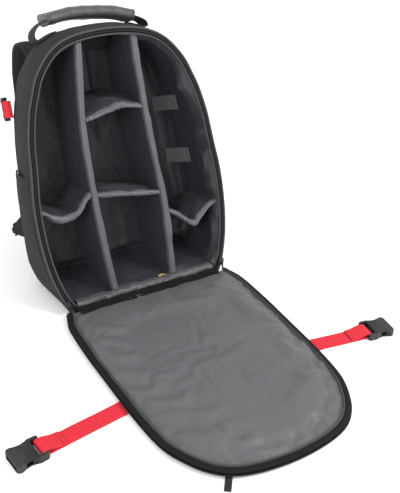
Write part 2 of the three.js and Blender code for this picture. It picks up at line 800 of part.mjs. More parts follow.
// Buckle plug with its middle tongue and two prongs
function plug() {
  const frameLength = PLUG_LENGTH * 0.375;
  const tongueLength = PLUG_LENGTH * 0.525;
  const tongueMiddle = PLUG_LENGTH * 0.35 + tongueLength / 2;
  let made = block([SIDES, frameLength, BUCKLE_THICK * 0.8], [0, frameLength / 2, MIDDLE]);
  for (const cut of barCuts()) made = made.subtract(cut);
  const tongue = block([SIDES * 0.143, tongueLength, BUCKLE_THICK * 0.4], [0, tongueMiddle, MIDDLE]);
  const prongThick = BUCKLE_THICK * 0.46;
  const prong = extruded(new THREE.Shape(planHalf(PRONG_PLAN, PLUG_LENGTH)), prongThick);
  const right = prong.translate([0, 0, MIDDLE - prongThick / 2]);
  return fromManifold(made.add(tongue).add(right).add(right.mirror([1, 0, 0])));
}

// Webbing that runs along +Y, round a buckle's bar and back over itself
function barredStrap(run, root, fold) {
  const bar = MIDDLE;
  const turn = BAR_HALF + WEB_THICK / 2 + GAP * 1.4;
  const near = run - SLOT_NEAR * 1.2;
  const leave = run - SLOT_NEAR - SLOT_LENGTH - SLOT_NEAR * 0.2;
  const over = run + SLOT_NEAR * 0.286;
  const points = root.map((row) => vec(0, row.along * leave, row.rise));
  points.push(vec(0, near, bar - turn));
  for (let angle = -90; angle <= 90; angle += 30) {
    const a = THREE.MathUtils.degToRad(angle);
    points.push(vec(0, over + turn * Math.cos(a), bar + turn * Math.sin(a)));
  }
  const rest = root[root.length - 1].rise + WEB_THICK * 1.43;
  points.push(vec(0, near, bar + turn), vec(0, leave, bar + turn * 0.3));
  points.push(vec(0, run - fold * 0.75, rest + GAP), vec(0, run - fold, rest));
  return sweep(points, vec(1, 0, 0), flat(WEB_WIDTH, WEB_THICK));
}

// Handle: webbing loop on the body's top, with a padded grip round it
function handleHalf(side) {
  const place = (across, rise) => vec(side * across + HANDLE_SHIFT, HANDLE_DEPTH, rise);
  const free = HANDLE_LINE.map((row) => {
    const across = row.across * GRIP_HALF;
    const raised = side * across * HANDLE_TILT * (1 - row.drop ** 4);
    return place(across, GRIP_RISE - row.drop * GRIP_LIFT + raised);
  });
  const sewn = HANDLE_SEAM.map((row) => {
    const across = row.across * GRIP_HALF;
    const top = skinTop(HANDLE_DEPTH + HANDLE_WIDTH / 2, side * across + HANDLE_SHIFT);
    return place(across, top + HANDLE_THICK / 2 + 1 + row.over);
  });
  return [...free, ...sewn];
}
function handlePath() {
  const middle = vec(HANDLE_SHIFT, HANDLE_DEPTH, GRIP_RISE);
  return smooth([...handleHalf(-1).reverse(), middle, ...handleHalf(1)], 44);
}
function gripPath() {
  const held = (p) => p.z > GRIP_RISE - GRIP_LIFT / 2 && Math.abs(p.x - HANDLE_SHIFT) < GRIP_HALF + 1;
  return handlePath().filter(held);
}
function handleGrip() {
  const outer = sweep(gripPath(), vec(0, 1, 0), (share) => {
    const flare = 1 + 0.1 * Math.abs(share * 2 - 1) ** 3;
    return pad(GRIP_WIDE * flare, GRIP_THICK, 14);
  });
  const hole = sweep(handlePath(), vec(0, 1, 0), flat(HANDLE_WIDTH + 2 * GAP, HANDLE_THICK + 2 * GAP));
  return fromManifold(toManifold(outer).subtract(toManifold(hole)));
}
const handleWebbing = () => sweep(handlePath(), vec(0, 1, 0), flat(HANDLE_WIDTH, HANDLE_THICK));

// Side pocket: a cloth sheet sewn to the left side, standing off at its mouth
function sidePocket() {
  const [columns, rows] = [10, 9];
  const layer = (extra) => {
    const points = [];
    for (let j = 0; j <= rows; j += 1) {
      for (let i = 0; i <= columns; i += 1) {
        const [u, v] = [i / columns, j / rows];
        const depth = THREE.MathUtils.lerp(POCKET.front, POCKET.back, u);
        const low = POCKET.low + depth * FLOOR_SLOPE * 0.5;
        const rise = THREE.MathUtils.lerp(low, POCKET.high + depth * 0.08, v);
        const stand = POCKET.bulge * Math.sin(Math.PI * u) ** 0.8 * Math.sin((Math.PI / 2) * v) ** 0.7;
        points.push(vec(-(skinHalf(depth, rise) + GAP * 2 + stand + extra), depth, rise));
      }
    }
    return points;
  };
  const points = [...layer(0), ...layer(POCKET.thick)];
  const size = (columns + 1) * (rows + 1);
  const at = (i, j, top) => top * size + j * (columns + 1) + i;
  const triangles = [];
  const quad = (a, b, c, d) => triangles.push([a, b, c], [a, c, d]);
  for (let j = 0; j < rows; j += 1) {
    for (let i = 0; i < columns; i += 1) {
      quad(at(i, j, 0), at(i, j + 1, 0), at(i + 1, j + 1, 0), at(i + 1, j, 0));
      quad(at(i, j, 1), at(i + 1, j, 1), at(i + 1, j + 1, 1), at(i, j + 1, 1));
    }
    quad(at(0, j, 0), at(0, j, 1), at(0, j + 1, 1), at(0, j + 1, 0));
    quad(at(columns, j, 0), at(columns, j + 1, 0), at(columns, j + 1, 1), at(columns, j, 1));
  }
  for (let i = 0; i < columns; i += 1) {
    quad(at(i, 0, 0), at(i + 1, 0, 0), at(i + 1, 0, 1), at(i, 0, 1));
    quad(at(i, rows, 0), at(i, rows, 1), at(i + 1, rows, 1), at(i + 1, rows, 0));
  }
  return geometry(points, triangles);
}

// Shoulder strap behind the back, its lower webbing and the cloth wing at the rear seam, for one side
function strapPath(side) {
  const back = DEPTH + STRAP_THICK / 2 + GAP + SEAT;
  const across = (row) => side * row.across * OPEN_HALF;
  const place = (row) => vec(across(row), back + row.bow * STRAP_BOW, row.rise * OPEN_HEIGHT);
  return smooth(STRAP_LINE.map(place), STRAP_STEPS);
}
function shoulderStrap(side) {
  return sweep(strapPath(side), vec(1, 0, 0), (share) => {
    const end = Math.min(1, 0.55 + 2.4 * (1 - share));
    return pad(STRAP_WIDTH * end, STRAP_THICK, 10);
  });
}
function strapWing(side) {
  const corner = (x, y, z) => vec(side * x, y, z);
  const loops = [
    [WING.root, WING.depth, WING.low, WING.high],
    [WING.reach, WING.tipDepth, WING.tip - WING.thick * 2, WING.tip + WING.thick * 2],
  ].map(([x, y, low, high]) => [
    corner(x, y, low),
    corner(x, y, high),
    corner(x + WING.thick * 0.6, y - WING.thick, high),
    corner(x + WING.thick * 0.6, y - WING.thick, low),
  ]);
  const profile = [[0, 0], [0, 1], [1, 1], [1, 0]].map(([x, y]) => new THREE.Vector2(x, y));
  return loftProfile(loops, profile);
}
function strapWebbing(side) {
  const end = strapPath(side)[STRAP_STEPS];
  const over = (STRAP_THICK + WEB_THICK) / 2;
  const path = [
    vec(end.x - side, end.y + over + WEB_THICK * 2.5, end.z + WEB_WIDTH * 1.04),
    vec(end.x, end.y + over + WEB_THICK * 1.07, end.z + WEB_WIDTH * 0.32),
    vec(end.x + side * WEB_WIDTH * 0.24, end.y + WEB_WIDTH * 0.32, end.z - WEB_WIDTH * 0.56),
    vec(side * OPEN_HALF * 0.79, DEPTH + STRAP_BOW * 0.634, OPEN_HEIGHT * 0.34),
    vec(side * OPEN_HALF * 0.932, DEPTH + STRAP_BOW * 0.293, OPEN_HEIGHT * 0.302),
    vec(side * (WING.reach - WING.thick), WING.tipDepth - WING.thick / 4, WING.tip),
  ];
  const turn = (share) => Math.max(0, share - 0.3) / 0.7;
  const across = (share) => vec(side * (1 - turn(share)), 0, turn(share));
  return sweep(smooth(path, 16), across, flat(WEB_WIDTH * 0.8, WEB_THICK));
}

// Side strap: sewn to the body's side, running back to a buckle plug
function sideHolder(side) {
  const holder = new THREE.Group();
  const out = vec(side, 0, 0);
  const way = vec(side * Math.sin(SIDE_STRAP.turn), Math.cos(SIDE_STRAP.turn), 0);
  const width = vec(0, 0, -side);
  holder.matrix.makeBasis(width, way, new THREE.Vector3().crossVectors(width, way));
  const low = SIDE_STRAP.rise - WEB_WIDTH / 2;
  const half = skinHalf(SIDE_STRAP.root, low) + SEAT;
  holder.matrix.setPosition(out.multiplyScalar(half).add(vec(0, SIDE_STRAP.root, SIDE_STRAP.rise)));
  holder.matrix.decompose(holder.position, holder.quaternion, holder.scale);
  return holder;
}

// Zip slider with a cord pull, in its own coordinates
function zipSlider(row) {
  const eyeRise = -SLIDER.long * 0.28;
  const plate = block([SLIDER.wide, SLIDER.thick, SLIDER.long], [0, 0, 0]);
  const eyeSize = [SLIDER.wide * 0.6, SLIDER.thick * 0.9, SLIDER.thick];
  const eye = block(eyeSize, [0, -SLIDER.thick * 0.7, eyeRise]);
  const path = [
    vec(0, -SLIDER.thick * 0.8, eyeRise),
    vec(row.sway * 0.4, -SLIDER.thick * 0.9, eyeRise - row.fall * 0.45),
    vec(row.sway, -SLIDER.thick * 0.7, eyeRise - row.fall),
  ];
  const cord = sweep(smooth(path, 5), vec(0, 1, 0), () => pad(SLIDER.cord, SLIDER.cord, 8));
  return fromManifold(plate.add(eye).add(toManifold(cord)));
}

// Assembly
const backpack = new THREE.Group();
backpack.name = "camera_backpack";
const body = new THREE.Group();
body.name = "body";
body.position.set(0, HINGE_Y, HINGE_RISE);
body.rotation.x = -LEAN;
const lid = new THREE.Group();
lid.name = "lid";
lid.position.set(0, HINGE_Y, 0);
backpack.add(body, lid);

function add(parent, name, made, finish) {
  const mesh = new THREE.Mesh(made, new THREE.MeshStandardMaterial({ metalness: 0, ...finish }));
  mesh.name = name;
  parent.add(mesh);
  return mesh;
}

// Group at the root of what runs out along the floor from a place on the lid
function laidOut(row) {
  const holder = new THREE.Group();
  holder.position.set(row.across * LID_HALF, -row.along * LID_LENGTH, 0);
  holder.rotation.z = row.turn;
  lid.add(holder);
  return holder;
}

// Body with its trim, walls and shelves
const PIPING_INSET = PIPING / 2;
const ZIP_INSET = PIPING_INSET + PIPING / 2 + ZIP_WIDTH / 2 + GAP;
const LINING_INSET = ZIP_INSET + ZIP_WIDTH / 2 + PIPING / 2 + GAP;
const PIPING_LIFT = -PIPING / 2 - GAP;
add(body, "body_shell", bodyShell(), FINISH.outerCloth);
add(body, "body_piping", openingBand(PIPING_INSET, PIPING_LIFT, cordProfile(PIPING)), FINISH.piping);
const zipProfile = bandProfile(ZIP_WIDTH, ZIP_THICK);
add(body, "body_zip", openingBand(ZIP_INSET, -ZIP_THICK / 2 - GAP, zipProfile), FINISH.zip);
add(body, "lining_piping", openingBand(LINING_INSET, PIPING_LIFT, cordProfile(PIPING)), FINISH.piping);
add(body, "front_lip", frontLip(0), FINISH.lining);
add(body, "divider_left", divider(DIVIDER_LEFT), FINISH.lining);
add(body, "divider_right", divider(DIVIDER_RIGHT), FINISH.lining);
for (const [name, row] of Object.entries(SHELVES)) add(body, name, shelf(row), FINISH.lining);
add(body, "loop_tab_upper", loopTab(LOOP_TAB.upper), FINISH.greyWeb);
add(body, "loop_tab_lower", loopTab(LOOP_TAB.lower), FINISH.greyWeb);
const tag = add(body, "inner_tag", new THREE.BoxGeometry(TAG.wide, TAG.deep, TAG.thick), FINISH.tag);
tag.position.set(TAG.across, TAG.depth, LIP_TOP + GAP + TAG.thick / 2);

// Lid with its trim and the hinge cloth
const lidZipProfile = bandProfile(ZIP_WIDTH * 0.957, ZIP_THICK);
add(lid, "lid_panel", lidPanel(), FINISH.lidLining);
add(lid, "lid_zip", lidBand(ZIP_WIDTH / 2, LID_EDGE * 0.625, lidZipProfile), FINISH.zip);
const lidPipingRise = LID_EDGE + PIPING * 0.91;
add(lid, "lid_piping", lidBand(LID_PIPING_INSET, lidPipingRise, cordProfile(PIPING)), FINISH.piping);
add(lid, "hinge_cloth", hingeCloth(), FINISH.outerCloth);

// Zip sliders hanging at the hinge's corners, in body coordinates
for (const row of SLIDERS) {
  const mesh = add(body, `zip_slider_${row.name}`, zipSlider(row), FINISH.plastic);
  mesh.position.set(row.across, -(SLIDER.out + SLIDER.thick / 2), row.rise);
  mesh.rotation.y = row.turn;
}

// Webbing pull at the arch of the lid
const pullShape = new THREE.BoxGeometry(PULL.wide, PULL.run, PULL.thick);
const pull = add(laidOut(PULL), "lid_pull_tab", pullShape, FINISH.darkWeb);
pull.position.set(0, PULL.run / 2, PULL.rise);

// Straps on the floor with their buckles
for (const row of STRAPS) {
  const holder = laidOut(row);
  add(holder, `lid_strap_${row.name}`, barredStrap(row.run, STRAP_RISES, STRAP_FOLD), FINISH.redWeb);
  const buckle = add(holder, `lid_buckle_${row.name}`, socket(), FINISH.plastic);
  buckle.position.set(0, row.run - SLOT_NEAR / 2, 0);
}

// Handle, pocket, shoulder straps and side straps
add(body, "handle_grip", handleGrip(), FINISH.outerCloth);
add(body, "handle_webbing", handleWebbing(), FINISH.darkWeb);
add(body, "side_pocket_left", sidePocket(), FINISH.outerCloth);
for (const [name, side] of [["left", -1], ["right", 1]]) {
  const holder = sideHolder(side);
  body.add(holder);
  const rises = [0, 0.5, 1].map((along) => ({ along, rise: STRAP_LIE }));
  add(holder, `side_strap_${name}`, barredStrap(SIDE_STRAP.run, rises, SIDE_STRAP.fold), FINISH.redWeb);
  const buckle = add(holder, `side_buckle_${name}`, plug(), FINISH.plastic);
  buckle.position.set(0, SIDE_STRAP.run - SLOT_NEAR / 2, 0);
  add(body, `shoulder_strap_${name}`, shoulderStrap(side), FINISH.outerCloth);
  add(body, `strap_wing_${name}`, strapWing(side), FINISH.darkWeb);
  add(body, `strap_webbing_${name}`, strapWebbing(side), FINISH.darkWeb);
}

export default backpack;
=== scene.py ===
"""Dresses the camera backpack: cloth, padding, webbing, zips and buckles over the shared frame."""

import logging
import math
from dataclasses import dataclass, field
from enum import Enum
from typing import Callable, Sequence

import bpy
import numpy as np
from mathutils import Matrix, Vector


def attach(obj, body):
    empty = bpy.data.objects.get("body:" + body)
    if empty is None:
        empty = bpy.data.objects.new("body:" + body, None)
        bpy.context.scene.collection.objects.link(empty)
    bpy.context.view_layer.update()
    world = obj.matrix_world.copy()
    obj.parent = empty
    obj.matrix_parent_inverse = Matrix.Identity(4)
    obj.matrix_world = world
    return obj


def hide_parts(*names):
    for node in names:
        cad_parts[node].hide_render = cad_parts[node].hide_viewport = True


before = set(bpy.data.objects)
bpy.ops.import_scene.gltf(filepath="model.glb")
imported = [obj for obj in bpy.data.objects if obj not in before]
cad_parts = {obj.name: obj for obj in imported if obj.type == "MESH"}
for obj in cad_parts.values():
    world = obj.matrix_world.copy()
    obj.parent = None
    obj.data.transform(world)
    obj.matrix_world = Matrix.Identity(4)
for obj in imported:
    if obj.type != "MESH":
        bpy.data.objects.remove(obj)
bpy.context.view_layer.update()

LOG = logging.getLogger("camera_backpack")
MM = 0.001
Colour = tuple[float, float, float]
Table = Sequence[tuple[float, ...]]


def srgb(red: float, green: float, blue: float) -> Colour:
    """Turn a colour of 0 to 255 values into linear light.

    Args:
        red, green, blue: The colour as it looks on a screen.

    Returns:
        The same colour in linear values.
    """
    shares = (v / 255 for v in (red, green, blue))
    return tuple(((v + 0.055) / 1.055) ** 2.4 if v > 10 / 255 else v / 12.92 for v in shares)


class Weave(Enum):
    """How a cloth's threads show on its face."""

    PLAIN = "plain"
    TWILL = "twill"
    RIBBED = "ribbed"
    SATIN = "satin"


class Sock:
    """A shader socket on which sums can be written as plain expressions."""

    def __init__(self, graph: "Graph", socket: bpy.types.NodeSocket) -> None:
        """Wrap an output socket of a node in a graph."""
        self.graph = graph
        self.socket = socket

    def _math(self, operation: str, first: "Sock | float", second: "Sock | float | None" = None) -> "Sock":
        """Add one Math node.

        Args:
            operation: The node's operation.
            first: The value of its first socket.
            second: The value of its second socket, if it has one.

        Returns:
            The node's result.
        """
        values = {0: first} if second is None else {0: first, 1: second}
        return self.graph.add("ShaderNodeMath", {"operation": operation}, values)[0]

    def __add__(self, other: "Sock | float") -> "Sock":
        """Return the sum."""
        return self._math("ADD", self, other)

    __radd__ = __add__

    def __sub__(self, other: "Sock | float") -> "Sock":
        """Return the difference."""
        return self._math("SUBTRACT", self, other)

    def __rsub__(self, other: float) -> "Sock":
        """Return the difference from a number."""
        return self._math("SUBTRACT", other, self)

    def __mul__(self, other: "Sock | float") -> "Sock":
        """Return the product."""
        return self._math("MULTIPLY", self, other)

    __rmul__ = __mul__

    def __truediv__(self, other: "Sock | float") -> "Sock":
        """Return the quotient."""
        return self._math("DIVIDE", self, other)

    def __pow__(self, other: float) -> "Sock":
        """Return the power."""
        return self._math("POWER", self, other)

    def sine(self) -> "Sock":
        """Return the sine."""
        return self._math("SINE", self)

    def absolute(self) -> "Sock":
        """Return the size without its sign."""
        return self._math("ABSOLUTE", self)

    def step(self, low: float, high: float) -> "Sock":
        """Rise smoothly from 0 to 1.

        Args:
            low: The value at which the rise starts.
            high: The value at which it ends.

        Returns:
            The smoothed share.
        """
        settings = {"interpolation_type": "SMOOTHSTEP"}
        return self.graph.add("ShaderNodeMapRange", settings, {0: self, 1: low, 2: high})[0]


class Made:
    """A node whose outputs are read by name or place."""

    def __init__(self, graph: "Graph", node: bpy.types.Node) -> None:
        """Wrap a node of a graph."""
        self.graph = graph
        self.node = node

    def __getitem__(self, key: "str | int") -> Sock:
        """Return one output."""
        return Sock(self.graph, self.node.outputs[key])


class Graph:
    """The node tree of one finish."""

    def __init__(self, name: str) -> None:
        """Start an empty material with a surface shader."""
        self.material = bpy.data.materials.new(name)
        self.material.use_nodes = True
        self.tree = self.material.node_tree
        self.tree.nodes.clear()
        self.shader = self.tree.nodes.new("ShaderNodeBsdfPrincipled")
        end = self.tree.nodes.new("ShaderNodeOutputMaterial")
        self.tree.links.new(self.shader.outputs[0], end.inputs["Surface"])

    def add(self, kind: str, settings: dict, values: dict) -> Made:
        """Add any node.

        Args:
            kind: The node's type.
            settings: Its own properties, set first.
            values: Values or links of its sockets, by name or place.

        Returns:
            The node, ready for its outputs to be read.
        """
        node = self.tree.nodes.new(kind)
        for key, value in settings.items():
            setattr(node, key, value)
        for key, value in values.items():
            self.feed(node.inputs[key], value)
        return Made(self, node)

    def feed(self, target: bpy.types.NodeSocket, value: "Sock | float | Sequence[float]") -> None:
        """Link or set one socket.

        Args:
            target: The socket that receives the value.
            value: A link or a constant.
        """
        if isinstance(value, Sock):
            self.tree.links.new(value.socket, target)
        elif hasattr(value, "__len__"):
            needs_alpha = len(value) == 3 and len(target.default_value) == 4
            target.default_value = (*value, 1.0) if needs_alpha else value
        else:
            target.default_value = value

    def surface(self, **values: "Sock | float | Sequence[float]") -> None:
        """Set the shader's sockets, each named with underscores for its spaces."""
        for key, value in values.items():
            self.feed(self.shader.inputs[key.replace("_", " ")], value)

    def mix(self, share: "Sock | float", first: "Sock | Colour", second: "Sock | Colour") -> Sock:
        """Mix two colours.

        Args:
            share: How much of the second shows.
            first: The colour at 0.
            second: The colour at 1.

        Returns:
            The mixed colour.
        """
        values = {0: share, 6: first, 7: second}
        return self.add("ShaderNodeMix", {"data_type": "RGBA"}, values)[2]

    def noise(self, scale: float, detail: float = 3.0, where: "Sock | None" = None) -> Sock:
        """Return a noise value.

        Args:
            scale: How many cells there are in a metre.
            detail: How many finer layers are added.
            where: The coordinates, or the object's own where none are given.

        Returns:
            A value of about 0 to 1.
        """
        place = where or self.place()
        return self.add("ShaderNodeTexNoise", {}, {"Vector": place, "Scale": scale, "Detail": detail})[0]

    def place(self) -> Sock:
        """Return the object's own coordinates."""
        return self.add("ShaderNodeTexCoord", {}, {})["Object"]

    def cloth(self) -> tuple[Sock, Sock]:
        """Return the two coordinates on the flat cloth, in metres."""
        split = self.add("ShaderNodeSeparateXYZ", {}, {0: self.add("ShaderNodeUVMap", {}, {})[0]})
        return split[0], split[1]

    def bump(self, height: Sock, depth: float, strength: float = 1.0, under: "Sock | None" = None) -> Sock:
        """Return a normal bent by a height.

        Args:
            height: The height, from 0 to 1.
            depth: What a height of 1 stands for, in metres.
            strength: How much of it shows.
            under: A normal that is already bent.

        Returns:
            The bent normal.
        """
        values = {"Height": height, "Distance": depth, "Strength": strength}
        if under is not None:
            values["Normal"] = under
        return self.add("ShaderNodeBump", {}, values)[0]

    def wear_and_highlight(self, low: float, high: float) -> Sock:
        """Return how far a spot stands out as an edge or crest, from 0 to 1; it lightens rubbed plastic edges
        and paints highlights on cloth crests.
        """
        return self.add("ShaderNodeNewGeometry", {}, {})["Pointiness"].step(low, high)


@dataclass(frozen=True)
class Finish:
    """A finish that makes its material once."""

    name: str

    def paint(self, graph: Graph) -> None:
        """Fill the graph with this finish's nodes."""
        raise NotImplementedError

    def material(self) -> bpy.types.Material:
        """Return the finish's material, made on first use."""
        known = bpy.data.materials.get(self.name + "_finish")
        if known:
            return known
        graph = Graph(self.name + "_finish")
        self.paint(graph)
        return graph.material


@dataclass(frozen=True)
class Cloth(Finish):
    """Woven cloth on pieces that carry flat-cloth coordinates."""

    colour: Colour = (0.05, 0.05, 0.05)
    shade: Colour = (0.03, 0.03, 0.03)
    weave: Weave = Weave.PLAIN
    pitch: float = 0.0011
    depth: float = 0.00012
    roughness: float = 0.8
    sheen: float = 0.2
    crinkle: float = 0.0004
    specular: float = 0.4
    # Share of random dust flecks and of the painted highlight on edges and fold crests.
    dust_and_highlight: float = 0.12

    def threads(self, graph: Graph) -> Sock:
        """Return the weave's height.

        Args:
            graph: The graph that gets the nodes.

        Returns:
            The height of the threads, from 0 to 1.
        """
        across, along = graph.cloth()
        turn = 2 * math.pi / self.pitch
        if self.weave is Weave.RIBBED:
            weft = (across * turn).sine() * (along * turn * 0.55).sine() * 0.35
            return weft + (along * turn * 0.5).sine() * 0.15 + 0.5
        if self.weave is Weave.TWILL:
            return ((across + along) * turn).sine() * 0.5 + 0.5
        if self.weave is Weave.SATIN:
            return ((across * 0.3 + along) * turn).sine() * 0.5 + 0.5
        return (across * turn).sine() * (along * turn).sine() * 0.5 + 0.5

    def paint(self, graph: Graph) -> None:
        """Build weave, soft blotches, dust flecks, a painted highlight on edges and fold crests, and small
        creases.
        """
        threads = self.threads(graph)
        blotch = graph.noise(9.0, 4.0)
        fleck = graph.noise(900.0, 2.0)
        tone = graph.mix(threads * 0.55 + blotch * 0.45, self.shade, self.colour)
        # Painted highlight: edges and fold crests are mixed towards a paler tone, along with random dust
        # flecks.
        dust_and_highlight_tone = tuple(min(1.0, v * 1.9 + 0.02) for v in self.colour)
        tone = graph.mix((fleck - 0.45) * self.dust_and_highlight * 2 + graph.wear_and_highlight(0.505, 0.57) * self.dust_and_highlight, tone, dust_and_highlight_tone)
        tone = graph.mix(graph.noise(3.5, 3.0).step(0.3, 0.7) * 0.3, tone, self.shade)
        creases = graph.noise(70.0, 5.0)
        ridges = 1 - (graph.noise(26.0, 3.0) - 0.5).absolute() * 4
        soft = graph.bump(creases * 0.4 + ridges * 0.6, self.crinkle, 0.9)
        fine = graph.bump(threads, self.depth, 0.8, soft)
        rough = graph.noise(40.0, 3.0) * 0.16 + (self.roughness - 0.08)
        graph.surface(Base_Color=tone, Roughness=rough, Normal=fine)
        tint = tuple(math.sqrt(v) for v in self.colour)
        graph.surface(Sheen_Weight=self.sheen, Sheen_Roughness=0.45, Sheen_Tint=tint)
        graph.surface(Specular_IOR_Level=self.specular)


@dataclass(frozen=True)
class Moulded(Finish):
    """Moulded plastic with a fine grain and lighter, rubbed edges."""

    colour: Colour = (0.009, 0.009, 0.0095)
    roughness: float = 0.42
    grain: float = 0.00006

    def paint(self, graph: Graph) -> None:
        """Build grain, rubbed edges and small scuffs."""
        edge = graph.wear_and_highlight(0.53, 0.68)
        scuff = graph.noise(160.0, 6.0).step(0.56, 0.75)
        tone = graph.mix(edge * 0.4 + scuff * 0.1, self.colour, (0.09, 0.09, 0.095))
        grain = graph.bump(graph.noise(1500.0, 2.0), self.grain, 0.6)
        rough = graph.noise(55.0, 4.0) * 0.18 + (self.roughness - 0.09)
        graph.surface(Base_Color=tone, Roughness=rough, Normal=grain, Specular_IOR_Level=0.22)


@dataclass(frozen=True)
class Ground(Finish):
    """Pale studio floor with the faintest mottle."""

    colour: Colour = (0.95, 0.95, 0.95)

    def paint(self, graph: Graph) -> None:
        """Build a matte, nearly even floor."""
        share = graph.noise(3.0, 2.0) * 0.06
        graph.surface(Base_Color=graph.mix(share, self.colour, (0.9, 0.9, 0.91)), Roughness=0.95)
        graph.surface(Specular_IOR_Level=0.1)


OUTER = Cloth(
    "outer_cloth", srgb(55, 56, 53), srgb(32, 33, 31), Weave.PLAIN,
    pitch=0.0016, depth=0.0003, roughness=0.85, sheen=0.08, crinkle=0.0006, specular=0.08, dust_and_highlight=0.2,
)
GRIP = Cloth(
    "grip_cloth", srgb(70, 71, 72), srgb(48, 49, 49), Weave.PLAIN,
    pitch=0.0014, depth=0.0001, roughness=0.42, sheen=0.3, crinkle=0.0008, specular=0.4,
)
# The lining's high dust share mostly paints its fold crests lighter, as a painted highlight.
LINING = Cloth(
    "lining", srgb(62, 60, 67), srgb(34, 33, 38), Weave.SATIN,
    pitch=0.0009, depth=0.00003, roughness=0.38, sheen=0.2, crinkle=0.0009, specular=0.35, dust_and_highlight=0.4,
)
SHELF = Cloth(
    "shelf_lining", srgb(66, 65, 70), srgb(44, 43, 48), Weave.SATIN,
    pitch=0.0009, depth=0.00003, roughness=0.42, sheen=0.2, crinkle=0.0007, specular=0.35,
)
# A lighter copy of the lining: painted highlight for the lit front edges of the dividers and shelves.
HIGHLIT_EDGE_LINING = Cloth(
    "edge_lining", srgb(96, 94, 101), srgb(62, 60, 66), Weave.SATIN,
    pitch=0.0009, depth=0.00003, roughness=0.4, sheen=0.3, crinkle=0.0007, specular=0.4,
)
LIP = Cloth(
    "lip_cloth", srgb(86, 85, 88), srgb(62, 61, 64), Weave.SATIN,
    pitch=0.0009, depth=0.00003, roughness=0.42, sheen=0.3, crinkle=0.0010, specular=0.35,
)
LID_LINING = Cloth(
    "lid_lining", srgb(92, 91, 94), srgb(76, 75, 78), Weave.SATIN,
    pitch=0.0009, depth=0.00003, roughness=0.46, sheen=0.2, crinkle=0.0003, specular=0.25,
)
BINDING = Cloth(
    "binding_cloth", srgb(22, 22, 23), srgb(11, 11, 12), Weave.TWILL,
    pitch=0.0012, depth=0.00018, roughness=0.7, sheen=0.12, crinkle=0.0003, specular=0.15,
)
PIPING = Cloth(
    "piping_cloth", srgb(70, 70, 71), srgb(42, 42, 43), Weave.TWILL,
    pitch=0.0011, depth=0.00014, roughness=0.6, sheen=0.2, crinkle=0.0002, specular=0.2,
)
ZIP_TAPE = Cloth(
    "zip_tape", srgb(20, 20, 21), srgb(10, 10, 11), Weave.TWILL,
    pitch=0.0010, depth=0.00014, roughness=0.75, sheen=0.06, crinkle=0.0002, specular=0.12,
)
RED = Cloth(
    "red_webbing", srgb(214, 62, 74), srgb(182, 34, 46), Weave.RIBBED,
    pitch=0.0024, depth=0.0004, roughness=0.75, sheen=0.03, crinkle=0.0002, specular=0.06, dust_and_highlight=0.0,
)
DARK_WEB = Cloth(
    "dark_webbing", srgb(44, 45, 43), srgb(24, 24, 23), Weave.RIBBED,
    pitch=0.0021, depth=0.0003, roughness=0.75, sheen=0.2, crinkle=0.0002, specular=0.15,
)
GREY_WEB = Cloth(
    "grey_webbing", srgb(112, 110, 112), srgb(90, 88, 90), Weave.RIBBED,
    pitch=0.0018, depth=0.0002, roughness=0.75, sheen=0.25, crinkle=0.0003, specular=0.2,
)
TAG = Cloth(
    "tag_cloth", srgb(214, 190, 120), srgb(180, 136, 50), Weave.TWILL,
    pitch=0.0008, depth=0.0001, roughness=0.7, sheen=0.2, crinkle=0.0002,
)
THREAD = Cloth(
    "thread", srgb(60, 60, 60), srgb(38, 38, 38), Weave.TWILL,
    pitch=0.0004, depth=0.00003, roughness=0.6, sheen=0.2, crinkle=0.0,
)
RED_THREAD = Cloth(
    "red_thread", srgb(178, 16, 28), srgb(142, 10, 20), Weave.TWILL,
    pitch=0.0004, depth=0.00003, roughness=0.6, sheen=0.2, crinkle=0.0,
)
PLASTIC = Moulded("buckle_plastic")
COIL = Moulded("zip_coil", (0.016, 0.016, 0.017), 0.36)
FLOOR = Ground("studio_floor")


class Noise:
    """Smooth seeded noise at points in space."""

    def __init__(self, seed: int) -> None:
        """Fill the table of values from a seed."""
        self.table = np.random.default_rng(seed).uniform(-1, 1, 4096)

    def at(self, points: np.ndarray) -> np.ndarray:
        """Return the noise at an array of points.

        Args:
            points: Points whose last axis has three numbers, one cell to a unit.

        Returns:
            Values of about -1 to 1.
        """
        cell = np.floor(points).astype(np.int64)
        part = points - cell
        part = part * part * (3 - 2 * part)
        total = np.zeros(points.shape[:-1])
        for corner in range(8):
            offset = np.array([(corner >> k) & 1 for k in range(3)])
            spot = (cell + offset) * np.array([73856093, 19349663, 83492791])
            value = self.table[(spot[..., 0] ^ spot[..., 1] ^ spot[..., 2]) & 4095]
            weight = np.where(offset, part, 1 - part).prod(axis=-1)
            total += value * weight
        return total

    def layers(self, points: np.ndarray, count: int = 3) -> np.ndarray:
        """Return several finer layers of the noise added up.

        Args:
            points: Points whose last axis has three numbers.
            count: How many layers.

        Returns:
            Values of about -1 to 1.
        """
        return sum(self.at(points * 2.03**k + 17.3 * k) / 1.9**k for k in range(count))

    def ridges(self, points: np.ndarray, sharp: float = 2.5) -> np.ndarray:
        """Return narrow ridges between flatter fields.

        Args:
            points: Points whose last axis has three numbers.
            sharp: How narrow the ridges are.

        Returns:
            Values of 0 to 1.
        """
        return (1 - np.minimum(1, np.abs(self.at(points)) * 1.6)) ** sharp


def tabled(rows: Table, at: "np.ndarray | float", column: int = 1) -> np.ndarray:
    """Read a table between its rows.

    Args:
        rows: Rows in rising order of their first number.
        at: Where to read it.
        column: Which column to read.

    Returns:
        The values there.
    """
    return np.interp(at, [row[0] for row in rows], [row[column] for row in rows])


